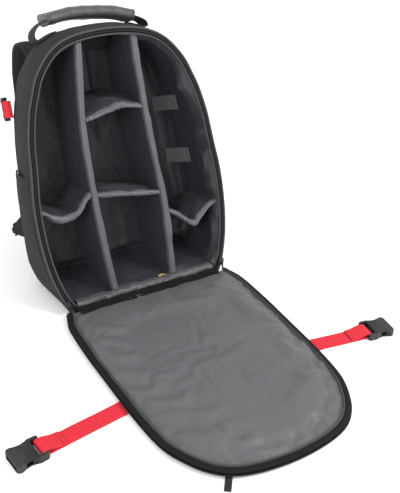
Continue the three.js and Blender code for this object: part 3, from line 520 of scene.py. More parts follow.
def spline(points: "np.ndarray | Sequence", count: int) -> np.ndarray:
    """Run a smooth line through points and space it evenly.

    Args:
        points: The points, one to a row.
        count: How many points come back.

    Returns:
        The evenly spaced points.
    """
    p = np.asarray(points, float)
    if len(p) > 2:
        padded = np.vstack([2 * p[0] - p[1], p, 2 * p[-1] - p[-2]])
        fine = []
        for i in range(1, len(padded) - 2):
            a, b, c, d = padded[i - 1 : i + 3]
            t = np.linspace(0, 1, 24, endpoint=False)[:, None]
            bend = (2 * a - 5 * b + 4 * c - d) * t**2 + (3 * b - a - 3 * c + d) * t**3
            fine.append(0.5 * (2 * b + (c - a) * t + bend))
        p = np.vstack([*fine, padded[-2:-1]])
    reach = np.concatenate([[0], np.cumsum(np.linalg.norm(np.diff(p, axis=0), axis=1))])
    even = np.linspace(0, reach[-1], count)
    return np.stack([np.interp(even, reach, p[:, k]) for k in range(p.shape[1])], axis=1)


def unit(vectors: np.ndarray) -> np.ndarray:
    """Return vectors of length one."""
    return vectors / np.maximum(np.linalg.norm(vectors, axis=-1, keepdims=True), 1e-9)


class Lean:
    """The body's own frame: across, deep from the opening and up the lean, in millimetres."""

    ANGLE = math.radians(18.4)
    HINGE_Y = -62.0
    HINGE_RISE = 4.0

    @classmethod
    def world(cls, points: np.ndarray) -> np.ndarray:
        """Turn points of the leaning frame into the part's frame.

        Args:
            points: Points as (across, deep, up).

        Returns:
            The points as (x, y, z), still in millimetres.
        """
        p = np.asarray(points, float)
        c, s = math.cos(cls.ANGLE), math.sin(cls.ANGLE)
        y = cls.HINGE_Y + p[..., 1] * c + p[..., 2] * s
        z = cls.HINGE_RISE - p[..., 1] * s + p[..., 2] * c
        return np.stack([p[..., 0], y, z], axis=-1)

    @classmethod
    def floor(cls, depth: "np.ndarray | float") -> "np.ndarray | float":
        """Return how far up the lean the floor lies at a depth."""
        return depth * math.tan(cls.ANGLE) - cls.HINGE_RISE / math.cos(cls.ANGLE)


@dataclass
class Net:
    """A net of points that becomes a mesh: rows by columns by three, in millimetres."""

    points: np.ndarray
    ring: bool = False
    cap_first: bool = False
    cap_last: bool = False
    flat: "np.ndarray | None" = None
    flip: bool = False

    def normals(self) -> np.ndarray:
        """Return the outward direction at each point.

        Returns:
            Unit vectors, one a point.
        """
        p = self.points
        down = np.gradient(p, axis=0)
        if self.ring:
            along = (np.roll(p, -1, axis=1) - np.roll(p, 1, axis=1)) / 2
        else:
            along = np.gradient(p, axis=1)
        out = unit(np.cross(along, down))
        return -out if self.flip else out

    def swell(self, height: np.ndarray) -> "Net":
        """Move each point out by a height and return the net."""
        self.points = self.points + self.normals() * height[..., None]
        return self

    def cloth(self) -> np.ndarray:
        """Return coordinates on the flat cloth, in metres, with a column more where the net is a ring.

        Returns:
            The coordinates, row by row.
        """
        p = self.points
        if self.ring:
            p = np.concatenate([p, p[:, :1]], axis=1)
        if self.flat is not None:
            f = self.flat
            return (np.concatenate([f, f[:, :1]], axis=1) if self.ring else f) * MM
        along = np.linalg.norm(np.diff(p, axis=1), axis=2)
        down = np.linalg.norm(np.diff(p, axis=0), axis=2)
        u = np.concatenate([np.zeros((p.shape[0], 1)), np.cumsum(along, axis=1)], axis=1)
        v = np.concatenate([[0], np.cumsum(down.mean(axis=1))])
        return np.stack([u, np.broadcast_to(v[:, None], u.shape)], axis=-1) * MM

    def build(self, name: str, finish: Finish) -> bpy.types.Object:
        """Make the object.

        Args:
            name: The piece's name.
            finish: The finish of its whole surface.

        Returns:
            The object, in metres, in the shared frame.
        """
        rows, columns = self.points.shape[:2]
        last = columns if self.ring else columns - 1
        i, j = np.meshgrid(np.arange(rows - 1), np.arange(last), indexing="ij")
        k = (j + 1) % columns
        a, b, c, d = i * columns + j, i * columns + k, (i + 1) * columns + k, (i + 1) * columns + j
        order = (a, d, c, b) if self.flip else (a, b, c, d)
        faces = np.stack(order, axis=-1).reshape(-1, 4).tolist()
        uv = self.cloth()
        near, far = uv[i, j], uv[i, j + 1]
        below, beyond = uv[i + 1, j], uv[i + 1, j + 1]
        corners = (near, below, beyond, far) if self.flip else (near, far, beyond, below)
        loops = np.stack(corners, axis=-2).reshape(-1, 2)
        verts = self.points.reshape(-1, 3).tolist()
        extra = []
        for wanted, row, start in ((self.cap_first, 0, 0), (self.cap_last, rows - 1, (rows - 1) * columns)):
            if not wanted:
                continue
            middle = len(verts)
            verts.append(self.points[row].mean(axis=0).tolist())
            for j0 in range(columns):
                j1 = (j0 + 1) % columns
                one, other = (j1, j0) if (row == 0) != self.flip else (j0, j1)
                faces.append([start + one, start + other, middle])
                spots = [self.points[row][one], self.points[row][other], verts[middle]]
                extra.extend([[s[0] * MM, (s[1] + s[2]) * MM] for s in spots])
        mesh = bpy.data.meshes.new(name)
        mesh.from_pydata([[v * MM for v in p] for p in verts], [], faces)
        layer = mesh.uv_layers.new(name="cloth")
        layer.data.foreach_set("uv", np.concatenate([loops.ravel(), np.ravel(extra)]).astype(np.float32))
        mesh.shade_smooth()
        mesh.update()
        made = bpy.data.objects.new(name, mesh)
        bpy.context.scene.collection.objects.link(made)
        made.data.materials.append(finish.material())
        return made


def merged(name: str, pieces: Sequence[bpy.types.Object]) -> bpy.types.Object:
    """Join several new objects into one.

    Args:
        name: The name of what comes out.
        pieces: The objects, which are used up.

    Returns:
        The joined object.
    """
    for piece in pieces:
        piece.select_set(True)
    bpy.context.view_layer.objects.active = pieces[0]
    with bpy.context.temp_override(active_object=pieces[0], selected_editable_objects=list(pieces)):
        bpy.ops.object.join()
    pieces[0].select_set(False)
    pieces[0].name = name
    pieces[0].data.name = name
    return pieces[0]


def faced(piece: bpy.types.Object, finish: Finish, chosen: np.ndarray) -> None:
    """Give the chosen faces of a piece another finish."""
    piece.data.materials.append(finish.material())
    piece.data.polygons.foreach_set("material_index", chosen.astype(np.int32))


def smoother(piece: bpy.types.Object, levels: int = 1) -> bpy.types.Object:
    """Add a subdivision surface and return the piece.

    Args:
        piece: The piece.
        levels: How many levels it gets.

    Returns:
        The same piece.
    """
    made = piece.modifiers.new("rounder", "SUBSURF")
    made.levels = levels
    made.render_levels = levels
    return piece


def thicker(piece: bpy.types.Object, thick: float) -> bpy.types.Object:
    """Give a sheet its thickness in millimetres, inwards, and return it.

    Args:
        piece: The sheet.
        thick: Its thickness.

    Returns:
        The same piece.
    """
    made = piece.modifiers.new("thickness", "SOLIDIFY")
    made.thickness = thick * MM
    made.offset = -1
    return piece


@dataclass
class Sweep:
    """A section carried along a path."""

    path: np.ndarray
    across: "np.ndarray | Sequence[float]"
    section: Callable[[float], np.ndarray]

    def net(self) -> Net:
        """Return the net of the swept section, closed round and capped at both ends."""
        p = np.asarray(self.path, float)
        along = unit(np.gradient(p, axis=0))
        side = np.broadcast_to(np.asarray(self.across, float), p.shape)
        side = unit(side - along * (side * along).sum(axis=1, keepdims=True))
        face = np.cross(along, side)
        shares = np.linspace(0, 1, len(p))
        sections = np.stack([self.section(t) for t in shares])
        points = p[:, None] + sections[..., :1] * side[:, None] + sections[..., 1:] * face[:, None]
        return Net(points, ring=True, cap_first=True, cap_last=True)


def oval(width: float, thick: float, count: int, power: float = 1.0) -> np.ndarray:
    """Return an oval section, squarer where power is under 1.

    Args:
        width: Its size across.
        thick: Its size through.
        count: How many points.
        power: 1 for an ellipse, less for squarer corners.

    Returns:
        The section's points.
    """
    turn = np.linspace(0, 2 * np.pi, count, endpoint=False)
    c, s = np.cos(turn), np.sin(turn)
    grown = lambda v: np.sign(v) * np.abs(v) ** power
    return np.stack([grown(c) * width / 2, grown(s) * thick / 2], axis=1)


@dataclass
class Stitches:
    """Short thread stitches laid along a line on a surface."""

    line: np.ndarray
    out: np.ndarray
    pitch: float = 4.2
    length: float = 2.9
    thread: float = 0.55

    def build(self, name: str, finish: Finish) -> bpy.types.Object:
        """Make one object of all the stitches.

        Args:
            name: The piece's name.
            finish: The thread's finish.

        Returns:
            The object.
        """
        reach = float(np.linalg.norm(np.diff(self.line, axis=0), axis=1).sum())
        count = max(2, int(reach / self.pitch))
        spots = spline(self.line, count)
        wanted, given = np.linspace(0, 1, count), np.linspace(0, 1, len(self.out))
        lifts = np.stack([np.interp(wanted, given, self.out[:, k]) for k in range(3)], axis=1)
        ways = unit(np.gradient(spots, axis=0))
        verts, faces = [], []
        shape = [
            (-0.5, 0, -0.3), (-0.32, 0.5, 0.1), (-0.32, -0.5, 0.1), (0.32, 0.5, 0.1),
            (0.32, -0.5, 0.1), (0.5, 0, -0.3), (-0.2, 0, 0.5), (0.2, 0, 0.5),
        ]
        plan = [
            (0, 2, 6), (0, 6, 1), (1, 6, 7, 3), (2, 4, 7, 6),
            (3, 7, 5), (4, 5, 7), (0, 1, 3, 5), (0, 5, 4, 2),
        ]
        for spot, way, lift in zip(spots, ways, unit(lifts)):
            side = unit(np.cross(lift, way))
            start = len(verts)
            for a, b, c in shape:
                p = spot + way * a * self.length + side * b * self.thread + lift * c * self.thread
                verts.append((p * MM).tolist())
            faces += [[start + v for v in face] for face in plan]
        mesh = bpy.data.meshes.new(name)
        mesh.from_pydata(verts, [], faces)
        mesh.uv_layers.new(name="cloth")
        mesh.shade_smooth()
        made = bpy.data.objects.new(name, mesh)
        bpy.context.scene.collection.objects.link(made)
        made.data.materials.append(finish.material())
        return made


@dataclass
class SewingRoom:
    """Cloth that is puffed by simulation, all in one run."""

    frames: int = 20
    jobs: list = field(default_factory=list)

    def puff(
        self, piece: bpy.types.Object, held: np.ndarray, pressure: float, slack: float, cap: float
    ) -> None:
        """Queue a piece.

        Args:
            piece: The piece, whose mesh is its own.
            held: How firmly each vertex is held, from 0 to 1.
            pressure: The pressure under the cloth.
            slack: By what share the cloth is larger than its place.
            cap: How far a point may move, in millimetres.
        """
        group = piece.vertex_groups.new(name="held")
        for weight in np.unique(np.round(held, 2)):
            spots = np.nonzero(np.round(held, 2) == weight)[0].tolist()
            group.add(spots, float(weight), "REPLACE")
        cloth = piece.modifiers.new("puff", "CLOTH")
        cloth.settings.quality = 5
        cloth.settings.mass = 0.15
        cloth.settings.tension_stiffness = 12
        cloth.settings.compression_stiffness = 12
        cloth.settings.bending_stiffness = 1.2
        cloth.settings.use_pressure = True
        cloth.settings.uniform_pressure_force = pressure
        cloth.settings.vertex_group_mass = "held"
        cloth.settings.shrink_min = -slack
        cloth.settings.effector_weights.gravity = 0
        cloth.collision_settings.use_collision = False
        cloth.point_cache.frame_end = self.frames
        self.jobs.append((piece, cap * MM))

    def run(self) -> None:
        """Step the simulation and keep its capped result on each mesh."""
        if not self.jobs:
            return
        scene = bpy.context.scene
        scene.frame_start, scene.frame_end = 1, self.frames
        for number in range(1, self.frames + 1):
            scene.frame_set(number)
        graph = bpy.context.evaluated_depsgraph_get()
        for piece, cap in self.jobs:
            others = [m for m in piece.modifiers if m.type != "CLOTH"]
            shown = [m.show_viewport for m in others]
            for m in others:
                m.show_viewport = False
            graph.update()
            mesh = piece.evaluated_get(graph).to_mesh()
            new = np.empty(len(mesh.vertices) * 3, np.float32)
            mesh.vertices.foreach_get("co", new)
            old = np.empty_like(new)
            piece.data.vertices.foreach_get("co", old)
            move = (new - old).reshape(-1, 3)
            size = np.linalg.norm(move, axis=1, keepdims=True)
            move *= np.minimum(1, cap / np.maximum(size, 1e-9))
            piece.modifiers.remove(piece.modifiers["puff"])
            piece.data.vertices.foreach_set("co", (old.reshape(-1, 3) + move).ravel())
            piece.data.update()
            for m, was in zip(others, shown):
                m.show_viewport = was
        scene.frame_set(1)


def settle(piece: bpy.types.Object, slot: str, *nodes: str) -> bpy.types.Object:
    """Let a piece ride on the body and stand for its solids.

    Args:
        piece: The piece.
        slot: The record's material slot; not used.
        nodes: The solids that it stands for.

    Returns:
        The piece.
    """
    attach(piece, "root")
    if nodes:
        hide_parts(*nodes)
    LOG.info("built %s with %d faces", piece.name, len(piece.data.polygons))
    return piece


@dataclass
class BodyForm:
    """The form of the body: its opening, its skin and its inside.

    The inside ends at the share inner_depth of the depth, and its floor is floor_pad walls thick.
    """

    half: float = 154.5
    height: float = 394.0
    depth: float = 118.0
    wall: float = 9.0
    corner: float = 50.0
    inner_depth: float = 0.924
    floor_pad: float = 1.05
    fine: int = 361
    opening: Table = (
        (0.0, 0.82), (0.028, 0.865), (0.06, 0.9), (0.14, 0.955), (0.225, 0.987), (0.3, 0.999), (0.37, 1.0),
        (0.44, 0.99), (0.51, 0.968), (0.58, 0.95), (0.65, 0.929), (0.74, 0.878), (0.8, 0.823), (0.86, 0.757),
        (0.916, 0.652), (0.952, 0.55), (0.977, 0.425), (0.993, 0.25), (1.0, 0.0),
    )
    skin: Table = (
        (0.0, 0, 0, 0), (0.05, 0.4, 2.5, 0), (0.14, 0.8, 7.5, 0), (0.3, 1, 11, 0), (0.66, 0, 11, 0),
        (0.81, -4, 7.5, 0), (0.91, -9, 0, 0), (0.965, -17, -11, 2), (1.0, -28, -26, 7),
    )
    lining: Table = (
        (0.0, 0, 0), (0.3, 0.5, 6), (0.66, -0.5, 6), (0.8, -5, 3), (0.88, -12, -6), (0.924, -23, -18),
    )
    flare: Table = ((0, 9), (0.08, 8.5), (0.16, 5), (0.27, -0.5), (0.4, -4), (0.7, -4), (0.88, 0))

    def edge(self, count: int) -> np.ndarray:
        """Return the opening's edge as shares, from the right corner over the top to the left one.

        Args:
            count: How many points it has.

        Returns:
            The shares across and up, one row a point.
        """
        right = [(h * self.half, r * self.height) for r, h in self.opening]
        left = [(-x, y) for x, y in right[-2::-1]]
        line = spline(right + left, count)
        return line / (self.half, self.height)

    def share(self, rise: np.ndarray, floor: float, top: float) -> np.ndarray:
        """Return the half width at a rise, as a share, on a section from floor to top.

        Args:
            rise: Where it is.
            floor: The section's floor.
            top: The section's top.

        Returns:
            The shares.
        """
        line = self.edge(self.fine)[: self.fine // 2 + 1]
        held = np.interp((rise - floor) / (top - floor), line[:, 1], line[:, 0])
        free = np.interp(rise / top, line[:, 1], line[:, 0])
        t = np.clip((rise - floor) / self.corner, 0, 1)
        t = t * t * (3 - 2 * t)
        return held + (free - held) * t

    def flared(self, depth: "np.ndarray | float", rise: "np.ndarray | float") -> np.ndarray:
        """Return how much wider the sides are at a depth and a rise than at the opening.

        Args:
            depth: How deep from the opening.
            rise: How far up the lean.

        Returns:
            The growth of the half width in millimetres.
        """
        t = np.clip((np.asarray(depth) / self.depth - 0.05) / 0.7, 0, 1)
        return tabled(self.flare, np.asarray(rise) / self.height) * t * t * (3 - 2 * t)

    def loop(
        self, depth: float, side: float, top: float, base: float, edge: np.ndarray, bottom: int
    ) -> np.ndarray:
        """Return one loop of a section.

        Args:
            depth: How deep from the opening.
            side, top, base: Growth of the sides and top, and lift of the base.
            edge: The opening's edge as shares.
            bottom: How many points lie along the base.

        Returns:
            The loop's points in the leaning frame.
        """
        floor = Lean.floor(depth) + base
        height = self.height + top
        rise = floor + np.maximum(edge[:, 1], 0) * (height - floor)
        half = self.half + side + self.flared(depth, rise)
        x = np.sign(edge[:, 0]) * self.share(rise, floor, height) * half
        x = np.where(np.abs(edge[:, 0]) < 1e-4, 0, x)
        arch = np.stack([x, np.full_like(x, depth), rise], axis=1)
        t = np.linspace(0, 1, bottom + 1)[1:-1, None]
        return np.vstack([arch, arch[-1] + (arch[0] - arch[-1]) * t])

    def skin_half(self, depth: np.ndarray, rise: np.ndarray) -> np.ndarray:
        """Return the skin's half width at depths and rises.

        Args:
            depth: The depths.
            rise: The rises.

        Returns:
            The half widths in millimetres.
        """
        t = np.asarray(depth) / self.depth
        floor = Lean.floor(depth) + tabled(self.skin, t, 3)
        top = self.height + tabled(self.skin, t, 2)
        return self.share(rise, floor, top) * (self.half + tabled(self.skin, t, 1) + self.flared(depth, rise))

    def lining_half(self, depth: np.ndarray, rise: np.ndarray) -> np.ndarray:
        """Return the inside's half width at depths and rises.

        Args:
            depth: The depths.
            rise: The rises.

        Returns:
            The half widths in millimetres.
        """
        t = np.asarray(depth) / self.depth
        floor = Lean.floor(depth) + self.wall * self.floor_pad
        top = self.height + tabled(self.lining, t, 2) - self.wall
        half = self.half + tabled(self.lining, t, 1) - self.wall + self.flared(depth, rise)
        return self.share(rise, floor, top) * half

    def lining_top(self, depth: np.ndarray, across: np.ndarray) -> np.ndarray:
        """Return the inside's top at depths and places across.

        Args:
            depth: The depths.
            across: The places across.

        Returns:
            The rises in millimetres.
        """
        t = np.asarray(depth) / self.depth
        top = self.height + tabled(self.lining, t, 2) - self.wall
        half = self.half + tabled(self.lining, t, 1) - self.wall
        line = self.edge(self.fine)[self.fine // 4 : self.fine // 2 + 1]
        return np.interp(np.abs(across) / half, line[::-1, 0], line[::-1, 1]) * top

    def band(self, inset: float, lift: float, count: int) -> np.ndarray:
        """Return a line along the opening's edge.

        Args:
            inset: How far inside the edge.
            lift: How deep from the opening, negative towards the front.
            count: How many points.

        Returns:
            The line in the leaning frame.
        """
        line = self.edge(count) * (self.half, self.height)
        way = unit(np.gradient(line, axis=0))
        x = line[:, 0] - way[:, 1] * inset
        y = line[:, 1] + way[:, 0] * inset + 1.5
        return np.stack([x, np.full_like(x, lift), y], axis=1)


def fold(
    points: np.ndarray, start: Sequence[float], end: Sequence[float], width: float, height: float, bend: float
) -> np.ndarray:
    """Return the height of one soft fold on a flat piece.

    Args:
        points: Flat places, whose last axis has two numbers.
        start, end: The fold's ends.
        width: Its half width.
        height: Its height, negative for a crease.
        bend: How far its middle bows sideways.

    Returns:
        The height at each place.
    """
    a, b = np.asarray(start, float), np.asarray(end, float)
    way = b - a
    length = np.linalg.norm(way)
    way = way / length
    side = np.array([-way[1], way[0]])
    rel = points - a
    t = rel @ way / length
    d = rel @ side - bend * np.sin(np.pi * np.clip(t, 0, 1))
    taper = np.clip(np.minimum(t + 0.12, 1.12 - t) / 0.3, 0, 1)
    return height * np.exp(-((d / width) ** 2)) * taper * taper * (3 - 2 * taper)


@dataclass
class Body:
    """The padded body: outer cloth, lining and what is sewn to them."""

    form: BodyForm
    columns: int = 330
    bottom: int = 30
    noise: Noise = field(default_factory=lambda: Noise(seed=11))

    def outer(self) -> bpy.types.Object:
        """Build the outer cloth from the rim back round the bag.

        Returns:
            The piece.
        """
        form, edge = self.form, self.form.edge(self.columns)
        rim = [form.loop(0.3, -i, -i, i * 1.05, edge, self.bottom) for i in (9.5, 6, 3)]
        spans = ((0, 0.12, 7), (0.16, 0.78, 18), (0.8, 1.0, 12))
        depths = np.concatenate([np.linspace(*span) for span in spans])
        side = np.array([[tabled(form.skin, t, k) for k in (1, 2, 3)] for t in depths])
        for k in range(3):
            side[:, k] = np.convolve(np.pad(side[:, k], 1, "edge"), [0.25, 0.5, 0.25], "valid")
        loops = rim + [form.loop(t * form.depth, *row, edge, self.bottom) for t, row in zip(depths, side)]
        last = loops[-1]
        middle = last.mean(axis=0)
        for t in (0.93, 0.85, 0.75, 0.63, 0.5, 0.36, 0.22, 0.1):
            ring = middle + (last - middle) * t
            ring[:, 1] = form.depth - 0.8 * math.sin(math.pi * t) ** 2
            loops.append(ring)
        net = Net(np.stack(loops), ring=True, cap_last=True, flip=True)
        spots = net.points
        lift = self.noise.layers(spots / 70) * 1.4 + self.noise.at(spots / 26) * 0.5
        lift += self.seams(spots)
        above = spots[..., 2] - Lean.floor(spots[..., 1])
        calm = np.clip((spots[..., 1] - 2) / 14, 0, 1) * np.clip(above / 12, 0, 1)
        net.swell(lift * calm)
        net.points = Lean.world(net.points)
        net.points[..., 2] = np.maximum(net.points[..., 2], 0.15)
        piece = thicker(net.build("body_outer", OUTER), 1.2)
        settle(piece, "outer_cloth", "body_shell")
        return piece

    def seams(self, spots: np.ndarray) -> np.ndarray:
        """Return the sewn seams that run round the bag, as heights.

        Args:
            spots: The skin's points.

        Returns:
            The height at each point, negative where a seam draws the cloth in.
        """
        deep = spots[..., 1]
        groove = -1.1 * np.exp(-(((deep - 26) / 1.6) ** 2)) + 0.8 * np.exp(-(((deep - 29.5) / 2.0) ** 2))
        back = -1.2 * np.exp(-(((deep - 97) / 1.8) ** 2)) + 1.0 * np.exp(-(((deep - 100.5) / 2.2) ** 2))
        return groove + back

    def inside(self) -> bpy.types.Object:
        """Build the lining, crumpled near the opening.

        Returns:
            The piece.
        """
        form, edge = self.form, self.form.edge(self.columns)
        spans = ((0, 0.36, 22), (0.39, 0.78, 14), (0.8, 0.924, 9))
        depths = np.concatenate([np.linspace(*span) for span in spans])
        rows = np.array([[tabled(form.lining, t, k) for k in (1, 2)] for t in depths])
        for k in range(2):
            rows[:, k] = np.convolve(np.pad(rows[:, k], 1, "edge"), [0.25, 0.5, 0.25], "valid")
        loops = []
        for t, (side, top) in zip(depths, rows):
            base = form.wall * form.floor_pad + max(0.0, -side) * 0.4
            growth = (side - form.wall, top - form.wall, base)
            loops.append(form.loop(t * form.depth, *growth, edge, self.bottom))
        last = loops[-1]
        middle = last.mean(axis=0)
        for t in (0.92, 0.83, 0.72, 0.6, 0.47, 0.34, 0.21, 0.1):
            loops.append(middle + (last - middle) * t)
        net = Net(np.stack(loops), ring=True, cap_last=True)
        spots = net.points
        deep, right = spots[..., 1], np.clip(spots[..., 0] / 60, 0, 1)
        near = np.exp(-(((deep - 18) / 18) ** 2))
        crumple = self.noise.ridges(spots / (30, 24, 30), 1.6) * 5.5
        crumple = crumple + self.noise.layers(spots / 20) * 1.4
        swing = 0.65 + 0.75 * self.noise.at(spots / (60, 60, 46) + 5.5)
        puff = 8.5 * swing * np.exp(-(((deep - 15) / 12) ** 2)) * (0.2 + 0.8 * right)
        puff = puff * np.clip(spots[..., 2] / 40, 0, 1)
        calm = np.clip(deep / 5, 0, 1)
        low = np.clip(1 - (spots[..., 2] - Lean.floor(deep)) / 40, 0, 1)
        lift = puff + crumple * near * (0.12 + 0.75 * right) + self.noise.layers(spots / 55) * 1.0
        lift += low * (self.noise.ridges(spots / (40, 14, 22), 2.0) * 3.0)
        lift += self.noise.ridges(spots / (17, 17, 130) + 2.5, 2.2) * 1.8 * np.clip(spots[..., 2] / 60, 0, 1)
        net.swell(lift * calm)
        net.points = Lean.world(net.points)
        piece = net.build("body_lining", LINING)
        settle(piece, "lining", "body_shell")
        return piece

    def build(self) -> None:
        """Build both skins."""
        self.outer()
        self.inside()


@dataclass
class Trim:
    """Piping, zip tape and teeth along the opening and along the lid."""

    form: BodyForm
    piping: float = 3.2
    tape: float = 4.6
    gap: float = 0.35
    tooth: float = 1.7

    def cord(
        self, name: str, line: np.ndarray, across: Sequence[float], size: float, finish: Finish
    ) -> bpy.types.Object:
        """Build a round cord along a line."""
        return Sweep(line, across, lambda t: oval(size, size, 10)).net().build(name, finish)

    def strip(
        self, name: str, line: np.ndarray, across: Sequence[float], size: tuple[float, float], finish: Finish
    ) -> bpy.types.Object:
        """Build a flat tape of a width and a thickness, lying across the given way.

        Args:
            name: The piece's name.
            line: Its middle line.
            across: The way of its width.
            size: Its width and its thickness.
            finish: Its finish.

        Returns:
            The piece.
        """
        wide, thick = size
        return Sweep(line, across, lambda t: oval(thick, wide, 12, 0.5)).net().build(name, finish)

    def teeth(self, name: str, line: np.ndarray, up: np.ndarray, wide: float) -> bpy.types.Object:
        """Build a zip's coil as a row of small bars.

        Args:
            name: The piece's name.
            line: The line that the coil follows.
            up: The direction off the tape.
            wide: The coil's width.

        Returns:
            The object.
        """
        reach = float(np.linalg.norm(np.diff(line, axis=0), axis=1).sum())
        spots = spline(line, int(reach / self.tooth))
        ways = unit(np.gradient(spots, axis=0))
        side = unit(np.cross(ways, up))
        size = (0.55, wide / 2, 0.5)
        corners = np.array([(a, b, c) for a in (-1, 1) for b in (-1, 1) for c in (-1, 1)]) * size
        plan = [(0, 1, 3, 2), (4, 6, 7, 5), (0, 4, 5, 1), (2, 3, 7, 6), (0, 2, 6, 4), (1, 5, 7, 3)]
        ups = np.broadcast_to(np.asarray(up, float), spots.shape)
        blocks = spots[:, None] + corners[None, :, :1] * ways[:, None] + corners[None, :, 1:2] * side[:, None]
        blocks = blocks + corners[None, :, 2:] * ups[:, None]
        faces = [[k * 8 + v for v in face] for k in range(len(spots)) for face in plan]
        mesh = bpy.data.meshes.new(name)
        mesh.from_pydata((blocks.reshape(-1, 3) * MM).tolist(), [], faces)
        mesh.uv_layers.new(name="cloth")
        made = bpy.data.objects.new(name, mesh)
        bpy.context.scene.collection.objects.link(made)
        made.data.materials.append(COIL.material())
        return made

    def build(self) -> None:
        """Build the opening's two pipings and the zip between them."""
        form = self.form
        front = Lean.world(np.array([0, -1.0, 0])) - Lean.world(np.zeros(3))
        place = [self.piping / 2]
        place.append(place[0] + self.piping / 2 + self.tape / 2 + self.gap)
        place.append(place[1] + self.tape / 2 + self.piping / 2 + self.gap)
        lifts = (-1.9, -1.1, -1.9)
        outer, zipper, inner = (Lean.world(form.band(inset, lift, 240)) for inset, lift in zip(place, lifts))
        piece = self.cord("body_piping_cord", outer, front, self.piping, PIPING)
        settle(piece, "piping", "body_piping")
        tape = self.strip("body_zip_tape", zipper, front, (self.tape, 1.3), ZIP_TAPE)
        teeth = self.teeth("body_zip_teeth", zipper + front * 1.0, front, 2.2)
        settle(tape, "zip_tape", "body_zip")
        settle(teeth, "zip_tape")
        piece = self.cord("lining_piping_cord", inner, front, self.piping * 0.9, PIPING)
        settle(piece, "piping", "lining_piping")


@dataclass
class Divider:
    """One upright padded divider, trimmed to the inside."""

    name: str
    line: Table
    form: BodyForm
    seed: int
    thick: float = 11.0

    def build(self) -> None:
        """Build the divider with its bound front edge, which is painted lighter as a highlight."""
        half, form = self.thick / 2, self.form
        back = form.depth * form.inner_depth + 0.6
        section = np.array([
            (-half, back), (-half - 0.4, 84), (-half - 0.6, 56), (-half - 0.4, 30), (-half, 15),
            (-half * 0.98, 9.5), (-half * 0.86, 6), (-half * 0.6, 4), (-half * 0.28, 3.1), (0, 2.9),
            (half * 0.22, 3.2), (half * 0.3, 4.4), (half * 0.38, 3.4), (half * 0.62, 3.2), (half * 0.86, 4.2),
            (half, 6.4), (half * 0.94, 9), (half + 0.2, 14), (half + 0.5, 30), (half + 0.6, 56),
            (half + 0.4, 84), (half, back),
        ])
        depth = section[:, 1]
        floor = Lean.floor(depth)
        over_lip = np.where(depth < 19, np.clip(3 - floor, 0, 12), 0)
        low = floor + form.wall * form.floor_pad + 2.0 + over_lip
        high = form.lining_top(depth, tabled(self.line, 0.97) + section[:, 0]) + 0.8
        rows = []
        for t in np.linspace(0, 1, 96):
            rise = low + (high - low) * t
            x = np.interp(rise / form.height, *self.curve().T) + section[:, 0]
            rows.append(np.stack([x, depth, rise], axis=1))
        net = Net(np.stack(rows))
        noise = Noise(self.seed)
        spots = net.points
        front = np.exp(-(((spots[..., 1] - 5) / 9) ** 2))
        lift = noise.layers(spots / (30, 30, 48)) * 0.9 + front * noise.layers(spots / (20, 20, 16)) * 0.55
        lift += noise.ridges(spots / (40, 40, 60), 3.0) * 0.8 * (1 - front)
        net.swell(lift * np.clip((back - spots[..., 1]) / 10, 0, 1))
        net.points = Lean.world(net.points)
        piece = net.build(self.name + "_pad", LINING)
        # The front edge's faces get the lighter lining, a painted highlight.
        faced(piece, HIGHLIT_EDGE_LINING, np.tile(section[:-1, 1] < 10, len(rows) - 1))
        settle(smoother(piece), "lining", self.name)

    def curve(self) -> np.ndarray:
        """Return the front edge as a fine line of rise shares and places across."""
        height = self.form.height
        fine = spline([(r * height, x) for r, x in self.line], 60)
        return np.stack([fine[:, 0] / height, fine[:, 1]], axis=1)

    def at(self, rise: np.ndarray) -> np.ndarray:
        """Return the divider's middle at rises."""
        return np.interp(np.asarray(rise) / self.form.height, *self.curve().T)


